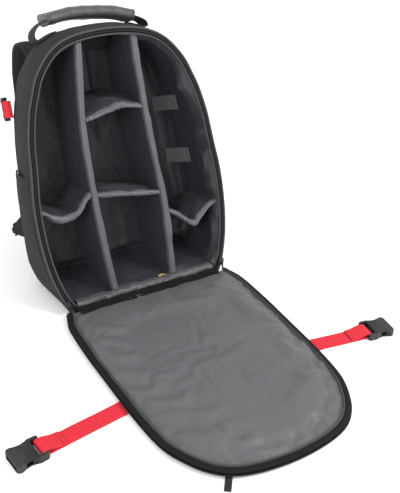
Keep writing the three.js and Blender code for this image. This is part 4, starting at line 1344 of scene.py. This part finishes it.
@dataclass
class Shelf:
    """One soft shelf between two walls, each a divider or the lining, with its place across."""

    name: str
    front: Table
    thick: float
    pitch: float
    walls: tuple
    form: BodyForm
    seed: int
    crumple: float = 1.0

    def build(self, room: SewingRoom) -> None:
        """Build the shelf as a thin pillow with its front edge painted lighter as a highlight, and queue its
        puffing.

        Args:
            room: The sewing room.
        """
        half, back = self.thick / 2, self.form.depth * 0.92
        nose = np.array([
            (9, 0.96), (7, 0.82), (5.8, 0.6), (5.1, 0.3), (4.9, 0),
            (5.0, -0.35), (5.6, -0.65), (7, -0.88), (9, -0.97),
        ])
        deep = np.concatenate([np.linspace(back, 12, 16), nose[:, 0], np.linspace(12, back, 12)])
        side = np.concatenate([np.full(16, 1.0), nose[:, 1], np.full(12, -1.0)])
        first, last = self.walls[0][1], self.walls[1][1]
        line = spline(self.front, 80)
        rows = []
        for t in np.linspace(0, 1, 56):
            guess = np.full(len(deep), tabled(line, first + (last - first) * t))
            rise = guess + (deep - 5) * self.pitch
            low, high = self.wall(0, deep, rise), self.wall(1, deep, rise)
            x = low + (high - low) * t
            crown = side * half * (0.75 + 0.25 * math.sin(math.pi * t))
            rise = tabled(line, x) - half + crown + (deep - 5) * self.pitch
            rows.append(np.stack([x, deep, rise], axis=1))
        net = Net(np.stack(rows))
        noise = Noise(self.seed)
        spots = net.points
        front = np.exp(-(((spots[..., 1] - 5) / 16) ** 2))
        lift = noise.layers(spots / (26, 34, 26), 2) * (0.7 + 0.8 * front) * self.crumple
        lift += noise.ridges(spots / (24, 50, 30), 2.0) * 1.5 * front * self.crumple
        net.swell(lift)
        net.points = Lean.world(net.points)
        piece = net.build(self.name + "_pad", SHELF)
        # The front edge's faces get the lighter lining, a painted highlight.
        faced(piece, HIGHLIT_EDGE_LINING, np.tile(deep[:-1] < 10, len(rows) - 1))
        held = np.zeros(spots.shape[:2])
        held[:2], held[-2:], held[:, :1], held[:, -1:] = 1, 1, 1, 1
        held[:, 17:24] = np.maximum(held[:, 17:24], 0.35)
        room.puff(piece, held.ravel(), pressure=3.0, slack=0.05, cap=4.0)
        smoother(piece)
        settle(piece, "lining", self.name)

    def wall(self, which: int, deep: np.ndarray, rise: np.ndarray) -> np.ndarray:
        """Return where one side wall stands: a divider's face or the lining.

        Args:
            which: The wall's number.
            deep: The depths.
            rise: The rises.

        Returns:
            The places across.
        """
        kind, sign = self.walls[which]
        if isinstance(kind, Divider):
            return kind.at(rise) + (kind.thick / 2 - 0.6) * (1 if which == 0 else -1)
        return (1 if sign > 0 else -1) * (self.form.lining_half(deep, rise) - 0.5)


@dataclass
class Lip:
    """The padded lip along the hinge, crumpled, with a small folded tag."""

    half: float = 116.0
    top: float = 13.0

    def build(self) -> None:
        """Build the lip and the tag."""
        noise = Noise(seed=31)
        outline = spline([
            (-2.2, 0), (-2.9, 4), (-2.6, 9), (-0.6, 12.2), (4, 13.4), (9, 13.0), (13.5, 11.8),
            (16.6, 9.4), (17.2, 7.6),
        ], 26)
        places = np.linspace(-self.half, self.half, 150)
        rows = [np.column_stack([np.full(26, x), outline]) for x in places]
        net = Net(np.stack(rows), flip=True)
        spots = net.points
        pucker = noise.ridges(spots / (11, 22, 22), 1.5) * 2.4 + noise.layers(spots / (26, 14, 14)) * 1.7
        ends = np.clip((self.half - np.abs(spots[..., 0])) / 10, 0.15, 1)
        net.swell((pucker - 1.3) * ends)
        net.points = Lean.world(net.points)
        piece = net.build("front_lip_pad", LIP)
        settle(smoother(piece), "lip_cloth", "front_lip")
        self.tag()

    def tag(self) -> None:
        """Build the small woven tag, folded over itself."""
        rows = ((24.6, 9, 1.2), (27, 9, 1.5), (30, 9.3, 2.2), (33.5, 9.2, 1.7), (35.4, 9, 1.2))
        line = Lean.world(spline([(x, deep, self.top + lift) for x, deep, lift in rows], 14))
        across = Lean.world(np.array([0, 1.0, 0])) - Lean.world(np.zeros(3))
        net = Sweep(line, across, lambda t: oval(6.6, 0.7, 10, 0.5)).net()
        settle(net.build("inner_tag_cloth", TAG), "tag_cloth", "inner_tag")


@dataclass
class Lid:
    """The lid on the floor: lining, base cloth, zip, bindings and hinge cloth."""

    half: float = 147.5
    length: float = 394.0
    start: float = 6.0
    rim: tuple = (4.2, 14.0)
    edge_line: Table = (
        (0.0, 0.935), (0.03, 0.955), (0.08, 0.99), (0.15, 1.0), (0.27, 1.0), (0.4, 0.988),
        (0.5, 0.978), (0.6, 0.966), (0.7, 0.943), (0.77, 0.912), (0.83, 0.852), (0.9, 0.742),
        (0.95, 0.605), (0.978, 0.445), (0.994, 0.24), (1.0, 0.0),
    )
    crown: Table = (
        (4.2, 7.6), (6.5, 8.8), (10, 9.3), (14, 9.8), (20, 11.2), (30, 12.6), (45, 13.4), (70, 13.8),
        (140, 13.8),
    )
    folds: Table = (
        (-118, 66, -78, 92, 9, 3.2, 4), (-126, 96, -92, 128, 8, 3.4, -4),
        (-130, 130, -88, 150, 9, 3.0, 5), (-128, 168, -100, 196, 8, 3.4, -3),
        (-132, 205, -96, 222, 10, 3.0, 4), (-120, 236, -70, 256, 10, 3.6, 6),
        (-108, 262, -40, 290, 9, 3.4, 10), (-112, 300, -52, 330, 9, 3.6, 10),
        (-84, 334, -26, 352, 8, 3.2, 8), (-60, 362, 6, 374, 7, 3.0, 6),
        (-20, 60, 70, 88, 14, 2.2, 8), (10, 150, 92, 172, 13, 2.4, 10),
        (-30, 204, 66, 196, 13, 2.0, 8), (20, 262, 110, 240, 12, 2.6, 8),
        (36, 316, 104, 288, 10, 2.6, 6), (-92, 282, -64, 312, 6, -2.6, 5),
        (-70, 316, -44, 346, 6, -2.6, 4), (92, 330, 66, 352, 5, -3.2, 3),
        (114, 296, 96, 322, 5, -3.4, 3), (128, 262, 110, 284, 5, -3.0, 3),
        (60, 358, 34, 372, 5, -3.0, 3), (132, 214, 112, 236, 6, -2.4, 4),
        (20, 368, -4, 380, 5, -2.6, 3), (74, 60, 118, 92, 8, 2.6, -5),
    )

    def edge(self, count: int) -> np.ndarray:
        """Return the lid's edge as shares, from the right hinge corner round to the left one.

        Args:
            count: How many points it has.

        Returns:
            The shares across and up, one row a point.
        """
        right = [(h * self.half, r * self.length) for r, h in self.edge_line]
        left = [(-x, y) for x, y in right[-2::-1]]
        return spline(right + left, count) / (self.half, self.length)

    def loop(self, inset: float, height: float, count: int = 260, bottom: int = 60) -> np.ndarray:
        """Return one loop of the lid at an inset from its edge.

        Args:
            inset: How far in it lies.
            height: How high it lies.
            count: How many points lie round the arch.
            bottom: How many points lie along the hinge.

        Returns:
            The loop's points in the lid's frame.
        """
        reach = self.length - self.start
        edge = self.edge(count)
        near = self.start + min(inset, reach * 0.45)
        x = edge[:, 0] * (self.half - inset)
        y = -(near + np.maximum(edge[:, 1], 0) * (reach - min(inset * 2, reach * 0.9)))
        arch = np.stack([x, y], axis=1)
        t = np.linspace(0, 1, bottom + 1)[1:-1, None]
        flat = np.vstack([arch, arch[-1] + (arch[0] - arch[-1]) * t])
        return np.column_stack([flat, np.full(len(flat), height)])

    def world(self, points: np.ndarray) -> np.ndarray:
        """Turn lid points into the part's frame."""
        return np.asarray(points, float) + (0, Lean.HINGE_Y, 0)

    def band(self, inset: float, height: float, count: int = 260) -> np.ndarray:
        """Return a line along the lid's edge, at an inset and a height.

        Args:
            inset: How far in it lies.
            height: How high it lies.
            count: How many points it has.

        Returns:
            The line's points.
        """
        line = self.edge(count) * (self.half, self.length - self.start)
        way = unit(np.gradient(line, axis=0))
        x = line[:, 0] - way[:, 1] * inset
        y = -(self.start + line[:, 1] + way[:, 0] * inset + 1.5)
        return self.world(np.stack([x, y, np.full_like(x, height)], axis=1))

    def squared(self, size: int) -> tuple[np.ndarray, np.ndarray]:
        """Lay a square grid over the lid whose outer rings follow the edge.

        Args:
            size: How many rings lie round the middle point.

        Returns:
            The grid's places, as rows by columns by two, and how far each lies inside the edge.
        """
        outer, inner = self.rim
        border = np.linspace(inner, outer, 8)
        insets = np.concatenate([np.linspace(self.half, inner, size - 6)[:-1], border])
        turn = np.concatenate([np.linspace(0, 3, 260), np.linspace(3, 4, 61)[1:]])
        middle = np.array([0, -(self.start + self.length) / 2])
        i, j = np.meshgrid(np.arange(-size, size + 1), np.arange(-size, size + 1), indexing="ij")
        ring = np.maximum(np.abs(i), np.abs(j))
        r = np.maximum(ring, 1)
        sides = [(i + r) / (2 * r), 1 + (r - j) / (2 * r), 2 + (r - i) / (2 * r)]
        place = np.select([j == r, i == r, j == -r], sides, 3 + (j + r) / (2 * r))
        flat = np.zeros((*ring.shape, 2))
        for k, inset in enumerate(insets):
            line = self.loop(min(inset, inner), 0)[:, :2]
            share = min(1, (self.half - inset) / (self.half - inner))
            line = middle + (np.vstack([line, line[:1]]) - middle) * share
            here = ring == k
            flat[here] = np.stack([np.interp(place[here], turn, line[:, n]) for n in (0, 1)], axis=1)
        return flat, insets[ring]

    def lining(self, room: SewingRoom) -> None:
        """Build the puffed lining with its creases.

        Args:
            room: The sewing room.
        """
        flat, insets = self.squared(56)
        noise = Noise(seed=43)
        lift = np.zeros(insets.shape)
        for x0, y0, x1, y1, width, height, bend in self.folds:
            lift += fold(flat * (1, -1), (x0, y0), (x1, y1), width, height, bend)
        border = np.exp(-(((insets - 15) / 9) ** 2))
        spots = np.dstack([flat, np.zeros(insets.shape)])
        lift *= 1.25
        lift += border * (noise.ridges(spots / 17, 1.8) * 2.2 - 0.7) + noise.layers(spots / 75, 2) * 1.6
        calm = np.clip((insets - self.rim[0]) / 7, 0, 1)
        height = tabled(self.crown, insets) + np.clip(lift * calm, -5, 5.5)
        net = Net(self.world(np.dstack([flat, np.minimum(height, 19)])), flat=flat, flip=True)
        piece = net.build("lid_lining_pad", LID_LINING)
        held = np.select([insets < 8.5, insets < 13, insets > 60], [1, 0.6, 0.12], 0)
        room.puff(piece, held.ravel(), pressure=2.6, slack=0.014, cap=5.0)
        smoother(piece)
        settle(piece, "lid_lining", "lid_panel")

    def base(self) -> None:
        """Build the outer cloth under the lining and up to the zip."""
        rows = (
            (4.2, 7.8), (4.6, 6.6), (4.6, 3.4), (5.2, 2.4), (12, 2.2), (26, 2.2), (31, 1.0), (35, 0.3),
            (70, 0.3), (120, 0.3),
        )
        points = np.stack([self.loop(inset, height) for inset, height in rows])
        net = Net(self.world(points), ring=True, cap_last=True, flat=points[..., :2])
        settle(net.build("lid_outer_cloth", OUTER), "outer_cloth", "lid_panel")

    def trim(self, trim: Trim) -> None:
        """Build the lid's bindings, its piping and its zip.

        Args:
            trim: The maker of cords and tapes.
        """
        up = (0, 0, 1.0)
        zipper = self.band(inset=2.3, height=5.0)
        tape = trim.strip("lid_zip_tape", zipper, up, (4.4, 1.5), ZIP_TAPE)
        settle(tape, "zip_tape", "lid_zip")
        settle(trim.teeth("lid_zip_teeth", self.band(inset=1.2, height=6.0), np.array(up), 2.0), "zip_tape")
        binding = trim.strip("lid_binding", self.band(inset=6.0, height=9.9), up, (5.4, 1.3), BINDING)
        settle(binding, "zip_tape")
        piping = trim.cord("lid_piping_cord", self.band(inset=10.6, height=10.8), up, 2.5, PIPING)
        settle(piping, "piping", "lid_piping")
        outer = trim.cord("lid_outer_piping", self.band(inset=2.9, height=8.6), up, 2.4, BINDING)
        settle(outer, "piping")

    def hinge(self) -> None:
        """Build the cloth that joins the body and the lid."""
        noise = Noise(seed=47)
        profile = spline([
            (-2.4, 11.2), (-3.4, 8.4), (-5.2, 6.4), (-8.4, 7.6), (-12.5, 9.6), (-17, 11.2), (-20, 11.6),
        ], 22)
        places = np.linspace(-118, 118, 120)
        points = np.stack([np.column_stack([np.full(22, x), profile]) for x in places])
        points[..., 2] += noise.layers(points / (18, 9, 9)) * 0.9
        net = Net(self.world(points))
        piece = thicker(net.build("hinge_cloth_strip", BINDING), 1.0)
        settle(piece, "outer_cloth", "hinge_cloth")

    def pull(self) -> None:
        """Build the folded webbing pull at the arch."""
        rows = ((-80, -368, 2.4), (-83.5, -373, 1.9), (-90, -382.5, 1.5), (-97, -392, 1.5))
        line = self.world(spline(rows, 16))
        net = Sweep(line, (0.81, -0.59, 0), lambda t: oval(8.4, 1.9, 12, 0.45)).net()
        settle(net.build("lid_pull_webbing", DARK_WEB), "dark_webbing", "lid_pull_tab")

    def build(self, room: SewingRoom, trim: Trim) -> None:
        """Build the whole lid.

        Args:
            room: The sewing room.
            trim: The maker of cords and tapes.
        """
        self.lining(room)
        self.base()
        self.trim(trim)
        self.hinge()
        self.pull()


@dataclass
class Webbing:
    """Webbing ribbons: the red straps on the lid and on the sides."""

    wide: float = 25.0
    thick: float = 1.4
    bar: float = 5.0

    def looped(self, run: float, rises: Table, fold_back: float) -> np.ndarray:
        """Return a strap's path along +Y, round a buckle's bar and back.

        Args:
            run: How far the bar is from the root.
            rises: Shares of the run and heights.
            fold_back: How far the end comes back.

        Returns:
            The path's points.
        """
        turn = 2.0 + self.thick / 2 + 0.5
        points = [(0, a * (run - 12), z) for a, z in rises]
        points.append((0, run - 5, self.bar - turn))
        for angle in range(-90, 91, 18):
            a = math.radians(angle)
            points.append((0, run + 1.2 + turn * math.cos(a), self.bar + turn * math.sin(a)))
        rest = rises[-1][1] + self.thick + 0.45
        points += [(0, run - 5, self.bar + turn), (0, run - 12, self.bar + turn * 0.3)]
        points += [(0, run - fold_back * 0.75, rest + 0.3), (0, run - fold_back, rest)]
        return spline(points, 120)

    def ribbon(self, name: str, path: np.ndarray, across: np.ndarray) -> bpy.types.Object:
        """Build a red ribbon with rolled edges.

        Args:
            name: The piece's name.
            path: Its middle line.
            across: The direction of its width.

        Returns:
            The piece.
        """
        return Sweep(path, across, lambda t: oval(self.wide, self.thick, 26, 0.4)).net().build(name, RED)

    def lid_straps(self) -> None:
        """Build the two straps that lie out on the floor."""
        table = (("left", (-118, -214), (-255.5, -236)), ("right", (122, -226), (229.5, -243)))
        for name, root, end in table:
            a, b = np.array(root, float), np.array(end, float)
            run = float(np.linalg.norm(b - a))
            way = (b - a) / run
            rises = ((0, 1.05), (0.3, 1.05), (0.55, 1.3), (0.8, 1.4), (1, 1.6))
            path = self.looped(run, rises, 28)
            path[:, 2] += 0.35 * np.sin(path[:, 1] / 19) ** 2
            side = np.array([way[1], -way[0], 0])
            shift = np.array([a[0], a[1] + Lean.HINGE_Y, 0])
            ahead = np.array([way[0], way[1], 0])
            line = shift + path[:, 1:2] * ahead + path[:, 2:] * (0, 0, 1)
            piece = self.ribbon(f"lid_strap_{name}_webbing", line, side)
            settle(piece, "red_webbing", f"lid_strap_{name}")
            top = float(path[-1, 2]) + self.thick / 2 + 0.1
            rows = []
            for back in (24.5, 22.5):
                spots = np.linspace(-11, 11, 8)[:, None]
                seam = shift + ahead * (run - back) + spots * side + (0, 0, top + 0.2)
                up = np.tile([0, 0, 1.0], (8, 1))
                stitches = Stitches(seam, up, pitch=2.6, length=2.0, thread=0.6)
                rows.append(stitches.build("row", RED_THREAD))
            settle(merged(f"lid_strap_{name}_stitches", rows), "red_webbing")

    def side_straps(self, form: BodyForm) -> None:
        """Build the short straps behind the sides.

        Args:
            form: The body's form.
        """
        root, rise, run, turn = 74.0, 300.0, 36.0, -0.13
        for name, sign in (("left", -1), ("right", 1)):
            half = float(form.skin_half(np.array(root), np.array(rise - self.wide / 2))) + 0.15
            way = np.array([sign * math.sin(turn), math.cos(turn), 0])
            out = np.array([sign * math.cos(turn), -math.sin(turn), 0])
            path = self.looped(run, ((0, 1.05), (0.5, 1.05), (1, 1.05)), 24)
            origin = np.array([sign * half, root, rise])
            line = Lean.world(origin + path[:, 1:2] * way + path[:, 2:] * out)
            across = Lean.world(np.array([0, 0, 1.0])) - Lean.world(np.zeros(3))
            piece = self.ribbon(f"side_strap_{name}_webbing", line, across)
            settle(piece, "red_webbing", f"side_strap_{name}")

    def build(self, form: BodyForm) -> None:
        """Build all the red straps."""
        self.lid_straps()
        self.side_straps(form)


@dataclass
class Handle:
    """The top handle: webbing loop and padded grip."""

    form: BodyForm
    depth: float = 60.0
    wide: float = 34.0
    thick: float = 1.8
    half: float = 68.0
    rise: float = 422.0
    shift: float = -3.5
    tilt: float = -0.04

    def skin_top(self, across: float) -> float:
        """Return the body's top under the webbing's rear edge.

        Args:
            across: The place across.

        Returns:
            The rise in millimetres.
        """
        form = self.form
        t = (self.depth + self.wide / 2) / form.depth
        half = form.half + float(tabled(form.skin, t, 1)) + float(form.flared(t * form.depth, form.height))
        top = form.height + float(tabled(form.skin, t, 2))
        floor = float(Lean.floor(t * form.depth))
        line = form.edge(form.fine)[form.fine // 4 : form.fine // 2 + 1]
        rise = floor + line[:, 1] * (top - floor)
        width = form.share(rise, floor, top) * half
        width[-1] = 0
        return float(np.interp(abs(across), width[::-1], rise[::-1]))

    def side(self, sign: int) -> list:
        """Return one half of the handle's path, from the middle to its sewn end.

        Args:
            sign: Minus one for the left, one for the right.

        Returns:
            The path's points.
        """
        sewn = lambda x: self.skin_top(sign * x + self.shift) + self.thick / 2 + 1
        raised = lambda x: sign * x * self.tilt
        rows = [
            (30, self.rise - 1.4 + raised(30)), (self.half - 8, self.rise - 6.5 + raised(self.half)),
            (self.half + 6, self.rise - 11 + raised(self.half)), (86, self.rise - 19 + raised(self.half) / 2),
            (89, self.rise - 28), (83, sewn(83) + 2.2), (76, sewn(76) + 0.3), (66, sewn(66)), (56, sewn(56)),
        ]
        return [(sign * x + self.shift, self.depth, z) for x, z in rows]

    def build(self) -> None:
        """Build the webbing and the grip."""
        path = spline([*self.side(-1)[::-1], (self.shift, self.depth, self.rise), *self.side(1)], 160)
        deep = Lean.world(np.array([0, 1.0, 0])) - Lean.world(np.zeros(3))
        net = Sweep(Lean.world(path), deep, lambda t: oval(self.wide, self.thick, 26, 0.4)).net()
        settle(net.build("handle_webbing_loop", DARK_WEB), "dark_webbing", "handle_webbing")
        held = path[(path[:, 2] > self.rise - 14) & (np.abs(path[:, 0] - self.shift) < self.half + 1)]
        line = Lean.world(spline(held, 110))
        noise = Noise(seed=53)

        def section(t: float) -> np.ndarray:
            """Return the grip's section, flared and open-looking at its ends."""
            end = abs(t * 2 - 1)
            shape = oval(39 * (1 + 0.1 * end**3), 21 * (1 - 0.05 * end**2), 44, 0.72)
            lower = shape[:, 1] < 0
            shape[lower, 1] *= 0.82
            return shape

        grip = Sweep(line, deep, section).net()
        spots = grip.points
        ends = np.abs(np.linspace(-1, 1, len(spots)))[:, None]
        lift = noise.layers(spots / (34, 20, 20)) * 0.9 + noise.ridges(spots / (22, 40, 40), 2.4) * 0.7
        lift = lift - 1.5 * np.exp(-(((ends - 0.95) / 0.02) ** 2))
        lift = lift + 0.9 * np.exp(-(((ends - 0.985) / 0.015) ** 2))
        grip.swell(lift)
        piece = grip.build("handle_grip_pad", GRIP)
        settle(smoother(piece), "grip_cloth", "handle_grip")


@dataclass
class Pocket:
    """The flat side pocket on the left."""

    form: BodyForm
    front: float = 8.0
    back: float = 88.0
    low: float = 52.0
    high: float = 204.0
    bulge: float = 4.5

    def build(self) -> None:
        """Build the pocket's cloth, its hem and its stitches."""
        noise = Noise(seed=59)
        u, v = np.meshgrid(np.linspace(0, 1, 44), np.linspace(0, 1, 72))
        deep = self.front + (self.back - self.front) * u
        bottom = self.low + deep * math.tan(Lean.ANGLE) * 0.5
        rise = bottom + (self.high + deep * 0.08 - bottom) * v
        stand = self.bulge * np.sin(np.pi * u) ** 0.8 * np.sin(np.pi / 2 * v) ** 0.7
        stand += 1.3 * np.exp(-(((v - 0.955) / 0.012) ** 2)) * 0.6
        half = self.form.skin_half(deep, rise)
        x = -(half + 0.9 + stand)
        points = np.stack([x, deep, rise], axis=-1)
        net = Net(points, flip=True)
        inner = np.clip(np.minimum(u, 1 - u) / 0.08, 0, 1)
        lift = noise.layers(points / 30) * 1.1 + noise.ridges(points / (30, 22, 44), 2.2) * 1.5
        lift = lift * inner * np.clip(1.1 - v, 0, 1)
        net.swell(-np.abs(lift) * 0.2 + lift * 0.5)
        net.points = Lean.world(net.points)
        piece = thicker(net.build("side_pocket_cloth", OUTER), 1.3)
        settle(piece, "outer_cloth", "side_pocket_left")
        rows = []
        out = np.tile(Lean.world(np.array([-1.0, 0, 0])) - Lean.world(np.zeros(3)), (20, 1))
        for line in (net.points[67], net.points[:, 1], net.points[:, -2]):
            rows.append(Stitches(spline(line, 20) + out[0] * 0.25, out).build("row", THREAD))
        settle(merged("side_pocket_stitches", rows), "outer_cloth")


@dataclass
class Harness:
    """Shoulder straps, their lower webbing and the cloth wings."""

    form: BodyForm
    wide: float = 60.0
    thick: float = 12.0

    def path(self, sign: int) -> np.ndarray:
        """Return one strap's middle line in the leaning frame.

        Args:
            sign: Minus one for the left, one for the right.

        Returns:
            The line's points.
        """
        back = self.form.depth + self.thick / 2 + 0.55
        rows = (
            (46, back, 318), (48, back, 345), (55, back + 3, 372), (62, back + 15, 389), (67, back + 29, 384),
            (72, back + 37, 357), (76, back + 41, 312), (81, back + 39, 250), (86, back + 32, 190),
        )
        return spline([(sign * x, y, z) for x, y, z in rows], 110)

    def strap(self, name: str, sign: int) -> None:
        """Build one padded strap with its bound edge.

        Args:
            name: left or right.
            sign: -1 or 1.
        """
        line = self.path(sign)

        def section(t: float) -> np.ndarray:
            """Return the strap's section, narrower at its lower end."""
            size = min(1.0, 0.55 + 2.4 * (1 - t))
            return oval(self.wide * size * 0.99, self.thick * 0.94, 40, 0.62)

        net = Sweep(Lean.world(line), (1.0, 0, 0), section).net()
        noise = Noise(61 + sign)
        turn = np.abs(np.cos(np.linspace(0, 2 * np.pi, 40, endpoint=False)))[None, :]
        groove = -1.2 * np.exp(-(((turn - 0.78) / 0.04) ** 2))
        lift = noise.layers(net.points / 36) * 0.7 + groove + noise.ridges(net.points / 30, 2.5) * 0.5
        net.swell(lift - 0.2)
        piece = net.build(f"shoulder_strap_{name}_pad", OUTER)
        settle(smoother(piece), "outer_cloth", f"shoulder_strap_{name}")

    def webbing(self, name: str, sign: int) -> None:
        """Build the webbing from the strap's end to the wing.

        Args:
            name: The side's name.
            sign: Minus one for the left, one for the right.
        """
        end = self.path(sign)[-1]
        rows = [
            (end[0] - sign, end[1] + 10.2, end[2] + 26), (end[0], end[1] + 8.2, end[2] + 8),
            (end[0] + sign * 6, end[1] + 8, end[2] - 14), (sign * 122, self.form.depth + 26, 134),
            (sign * 144, self.form.depth + 12, 119), (sign * 159.5, 113.5, 117),
        ]
        line = Lean.world(spline(rows, 60))
        t = np.clip((np.linspace(0, 1, 60) - 0.3) / 0.7, 0, 1)[:, None]
        across = Lean.world(np.concatenate([sign * (1 - t), 0 * t, t], axis=1)) - Lean.world(np.zeros(3))
        net = Sweep(line, across, lambda t: oval(20, 1.4, 22, 0.4)).net()
        settle(net.build(f"strap_webbing_{name}_ribbon", DARK_WEB), "dark_webbing", f"strap_webbing_{name}")

    def wing(self, name: str, sign: int) -> None:
        """Build the small cloth wing at the rear seam.

        Args:
            name: The side's name.
            sign: Minus one for the left, one for the right.
        """
        u, v = np.meshgrid(np.linspace(0, 1, 20), np.linspace(0, 1, 18))
        x = 148.8 + (161.5 - 148.8) * u
        deep = 98 + (114 - 98) * u
        low, high = 106 + (113 - 106) * u, 138 + (121 - 138) * u
        wave = 0.5 * np.sin(v * 9) * u
        points = np.stack([sign * (x + 0.6), deep - 1.0 + wave, low + (high - low) * v], axis=-1)
        net = Net(Lean.world(points), flip=sign > 0)
        piece = thicker(net.build(f"strap_wing_{name}_cloth", DARK_WEB), 1.4)
        settle(piece, "dark_webbing", f"strap_wing_{name}")

    def build(self) -> None:
        """Build both sides."""
        for name, sign in (("left", -1), ("right", 1)):
            self.strap(name, sign)
            self.webbing(name, sign)
            self.wing(name, sign)


@dataclass
class LoopTabs:
    """Two webbing bands across the right column's rear corner."""

    form: BodyForm
    rises: tuple = (272.0, 184.0)

    def build(self) -> None:
        """Build both bands."""
        for name, rise in zip(("upper", "lower"), self.rises):
            halves = self.form.lining_half(np.array([76.0, 76.0]), np.array([rise - 12.5, rise + 12.5]))
            wall = halves.mean() - 1.75
            back = self.form.depth * self.form.inner_depth - 1.75
            rows = ((23, 0), (17, 3), (10.5, 9), (6, 17), (2.6, 25), (0.3, 35), (0, 42))
            line = Lean.world(spline([(wall - a, back - b, rise) for a, b in rows], 50))
            across = Lean.world(np.array([halves[1] - halves[0], 0, 25.0])) - Lean.world(np.zeros(3))
            net = Sweep(line, across, lambda t: oval(25, 1.5, 22, 0.4)).net()
            settle(net.build(f"loop_tab_{name}_band", GREY_WEB), "grey_webbing", f"loop_tab_{name}")


@dataclass
class HardParts:
    """Buckles and sliders: the frame's own solids, rounded and finished."""

    names: tuple = (
        "lid_buckle_left", "lid_buckle_right", "side_buckle_left", "side_buckle_right",
        "zip_slider_left", "zip_slider_right",
    )

    def build(self) -> None:
        """Round and finish each hard piece."""
        for name in self.names:
            piece = bpy.data.objects[name]
            bevel = piece.modifiers.new("soft_edges", "BEVEL")
            bevel.width = 0.9 * MM
            bevel.segments = 3
            bevel.limit_method = "ANGLE"
            bevel.angle_limit = math.radians(32)
            bevel.harden_normals = False
            piece.data.materials.clear()
            piece.data.materials.append(PLASTIC.material())
            LOG.info("finished %s", name)


@dataclass
class Studio:
    """Floor, light and the camera at the photograph's angle."""

    spot: tuple = (-414.646, -911.927, 645.602)
    azimuth: float = math.radians(30.764)
    elevation: float = math.radians(30.746)
    roll: float = math.radians(1.74)
    focal: float = 730.42
    frame_height: float = 493.0

    def camera(self) -> None:
        """Place the camera."""
        data = bpy.data.cameras.new("photo_camera")
        data.lens = self.focal * 36 / self.frame_height
        data.sensor_width = 36
        made = bpy.data.objects.new("photo_camera", data)
        bpy.context.scene.collection.objects.link(made)
        a, e = self.azimuth, self.elevation
        ahead = Vector((math.sin(a) * math.cos(e), math.cos(a) * math.cos(e), -math.sin(e)))
        level = Vector((math.cos(a), -math.sin(a), 0))
        above = level.cross(ahead)
        right = level * math.cos(self.roll) + above * math.sin(self.roll)
        up = above * math.cos(self.roll) - level * math.sin(self.roll)
        matrix = Matrix((right, up, -ahead)).transposed().to_4x4()
        matrix.translation = Vector(self.spot) * MM
        made.matrix_world = matrix
        bpy.context.scene.camera = made

    def light(
        self, name: str, spot: Sequence[float], aim: Sequence[float], size: float, watts: float
    ) -> None:
        """Place one soft area light.

        Args:
            name: Its name.
            spot: Where it hangs.
            aim: What it faces.
            size: The side of its square.
            watts: Its power.
        """
        data = bpy.data.lights.new(name, "AREA")
        data.size = size
        data.energy = watts
        made = bpy.data.objects.new(name, data)
        bpy.context.scene.collection.objects.link(made)
        made.location = spot
        made.rotation_euler = (Vector(aim) - Vector(spot)).to_track_quat("-Z", "Y").to_euler()

    def build(self) -> None:
        """Build the studio."""
        mesh = bpy.data.meshes.new("floor")
        side = 9.0
        corners = [(-side, -side, 0), (side, -side, 0), (side, side, 0), (-side, side, 0)]
        mesh.from_pydata(corners, [], [(0, 1, 2, 3)])
        floor = bpy.data.objects.new("floor", mesh)
        bpy.context.scene.collection.objects.link(floor)
        floor.data.materials.append(FLOOR.material())
        world = bpy.data.worlds.new("studio")
        world.use_nodes = True
        world.node_tree.nodes["Background"].inputs[0].default_value = (1, 1, 1, 1)
        world.node_tree.nodes["Background"].inputs[1].default_value = 1.15
        bpy.context.scene.world = world
        bpy.context.scene.view_settings.view_transform = "Standard"
        self.light("key", (1.5, -1.5, 1.9), (0, 0, 0.15), size=0.7, watts=44)
        self.light("fill", (-1.5, -1.6, 1.2), (0.05, 0, 0.2), size=0.7, watts=20)
        self.camera()


def main() -> None:
    """Build every sub-assembly in order."""
    logging.basicConfig(level=logging.INFO, format="%(message)s")
    Studio().build()
    room = SewingRoom()
    form = BodyForm()
    Body(form).build()
    trim = Trim(form)
    trim.build()
    bow = ((-0.05, -50), (0.015, -50.5), (0.2, -55.5), (0.4, -58.5), (0.66, -58), (0.85, -50), (1.03, -41))
    sway = ((-0.05, 47.5), (0.015, 48.5), (0.18, 51.5), (0.335, 52.5), (0.61, 45), (0.85, 42), (1.03, 42))
    left = Divider("divider_left", bow, form, seed=21)
    right = Divider("divider_right", sway, form, seed=22)
    left.build()
    right.build()
    upper = ((-62, 274), (-44, 276), (-16, 283), (2, 288), (22, 285), (46, 280), (52, 279))
    lower = ((-62, 166), (-46, 164), (-16, 159), (16, 154), (42, 150), (54, 148))
    near = ((-170, 162), (-141, 157), (-122, 146), (-104, 140), (-86, 147), (-68, 166), (-52, 176))
    far = ((48, 121), (66, 113), (84, 98), (98, 88), (114, 98), (131, 111), (168, 122))
    middle_up, middle_low = ((left, -52), (right, 42)), ((left, -52), (right, 46))
    outside_left, outside_right = (("wall", -141), (left, -64)), ((right, 58), ("wall", 141))
    shelves = (
        Shelf("shelf_centre_upper", upper, 7.5, 0.22, middle_up, form, seed=71, crumple=0.6),
        Shelf("shelf_centre_lower", lower, 8, 0.03, middle_low, form, seed=72, crumple=0.6),
        Shelf("shelf_left", near, 9, 0.06, outside_left, form, seed=73, crumple=1.3),
        Shelf("shelf_right", far, 8, 0.08, outside_right, form, seed=74, crumple=0.9),
    )
    for shelf in shelves:
        shelf.build(room)
    Lip().build()
    LoopTabs(form).build()
    Lid().build(room, trim)
    Webbing().build(form)
    Handle(form).build()
    Pocket(form).build()
    Harness(form).build()
    HardParts().build()
    room.run()


if __name__ == "__main__":
    main()
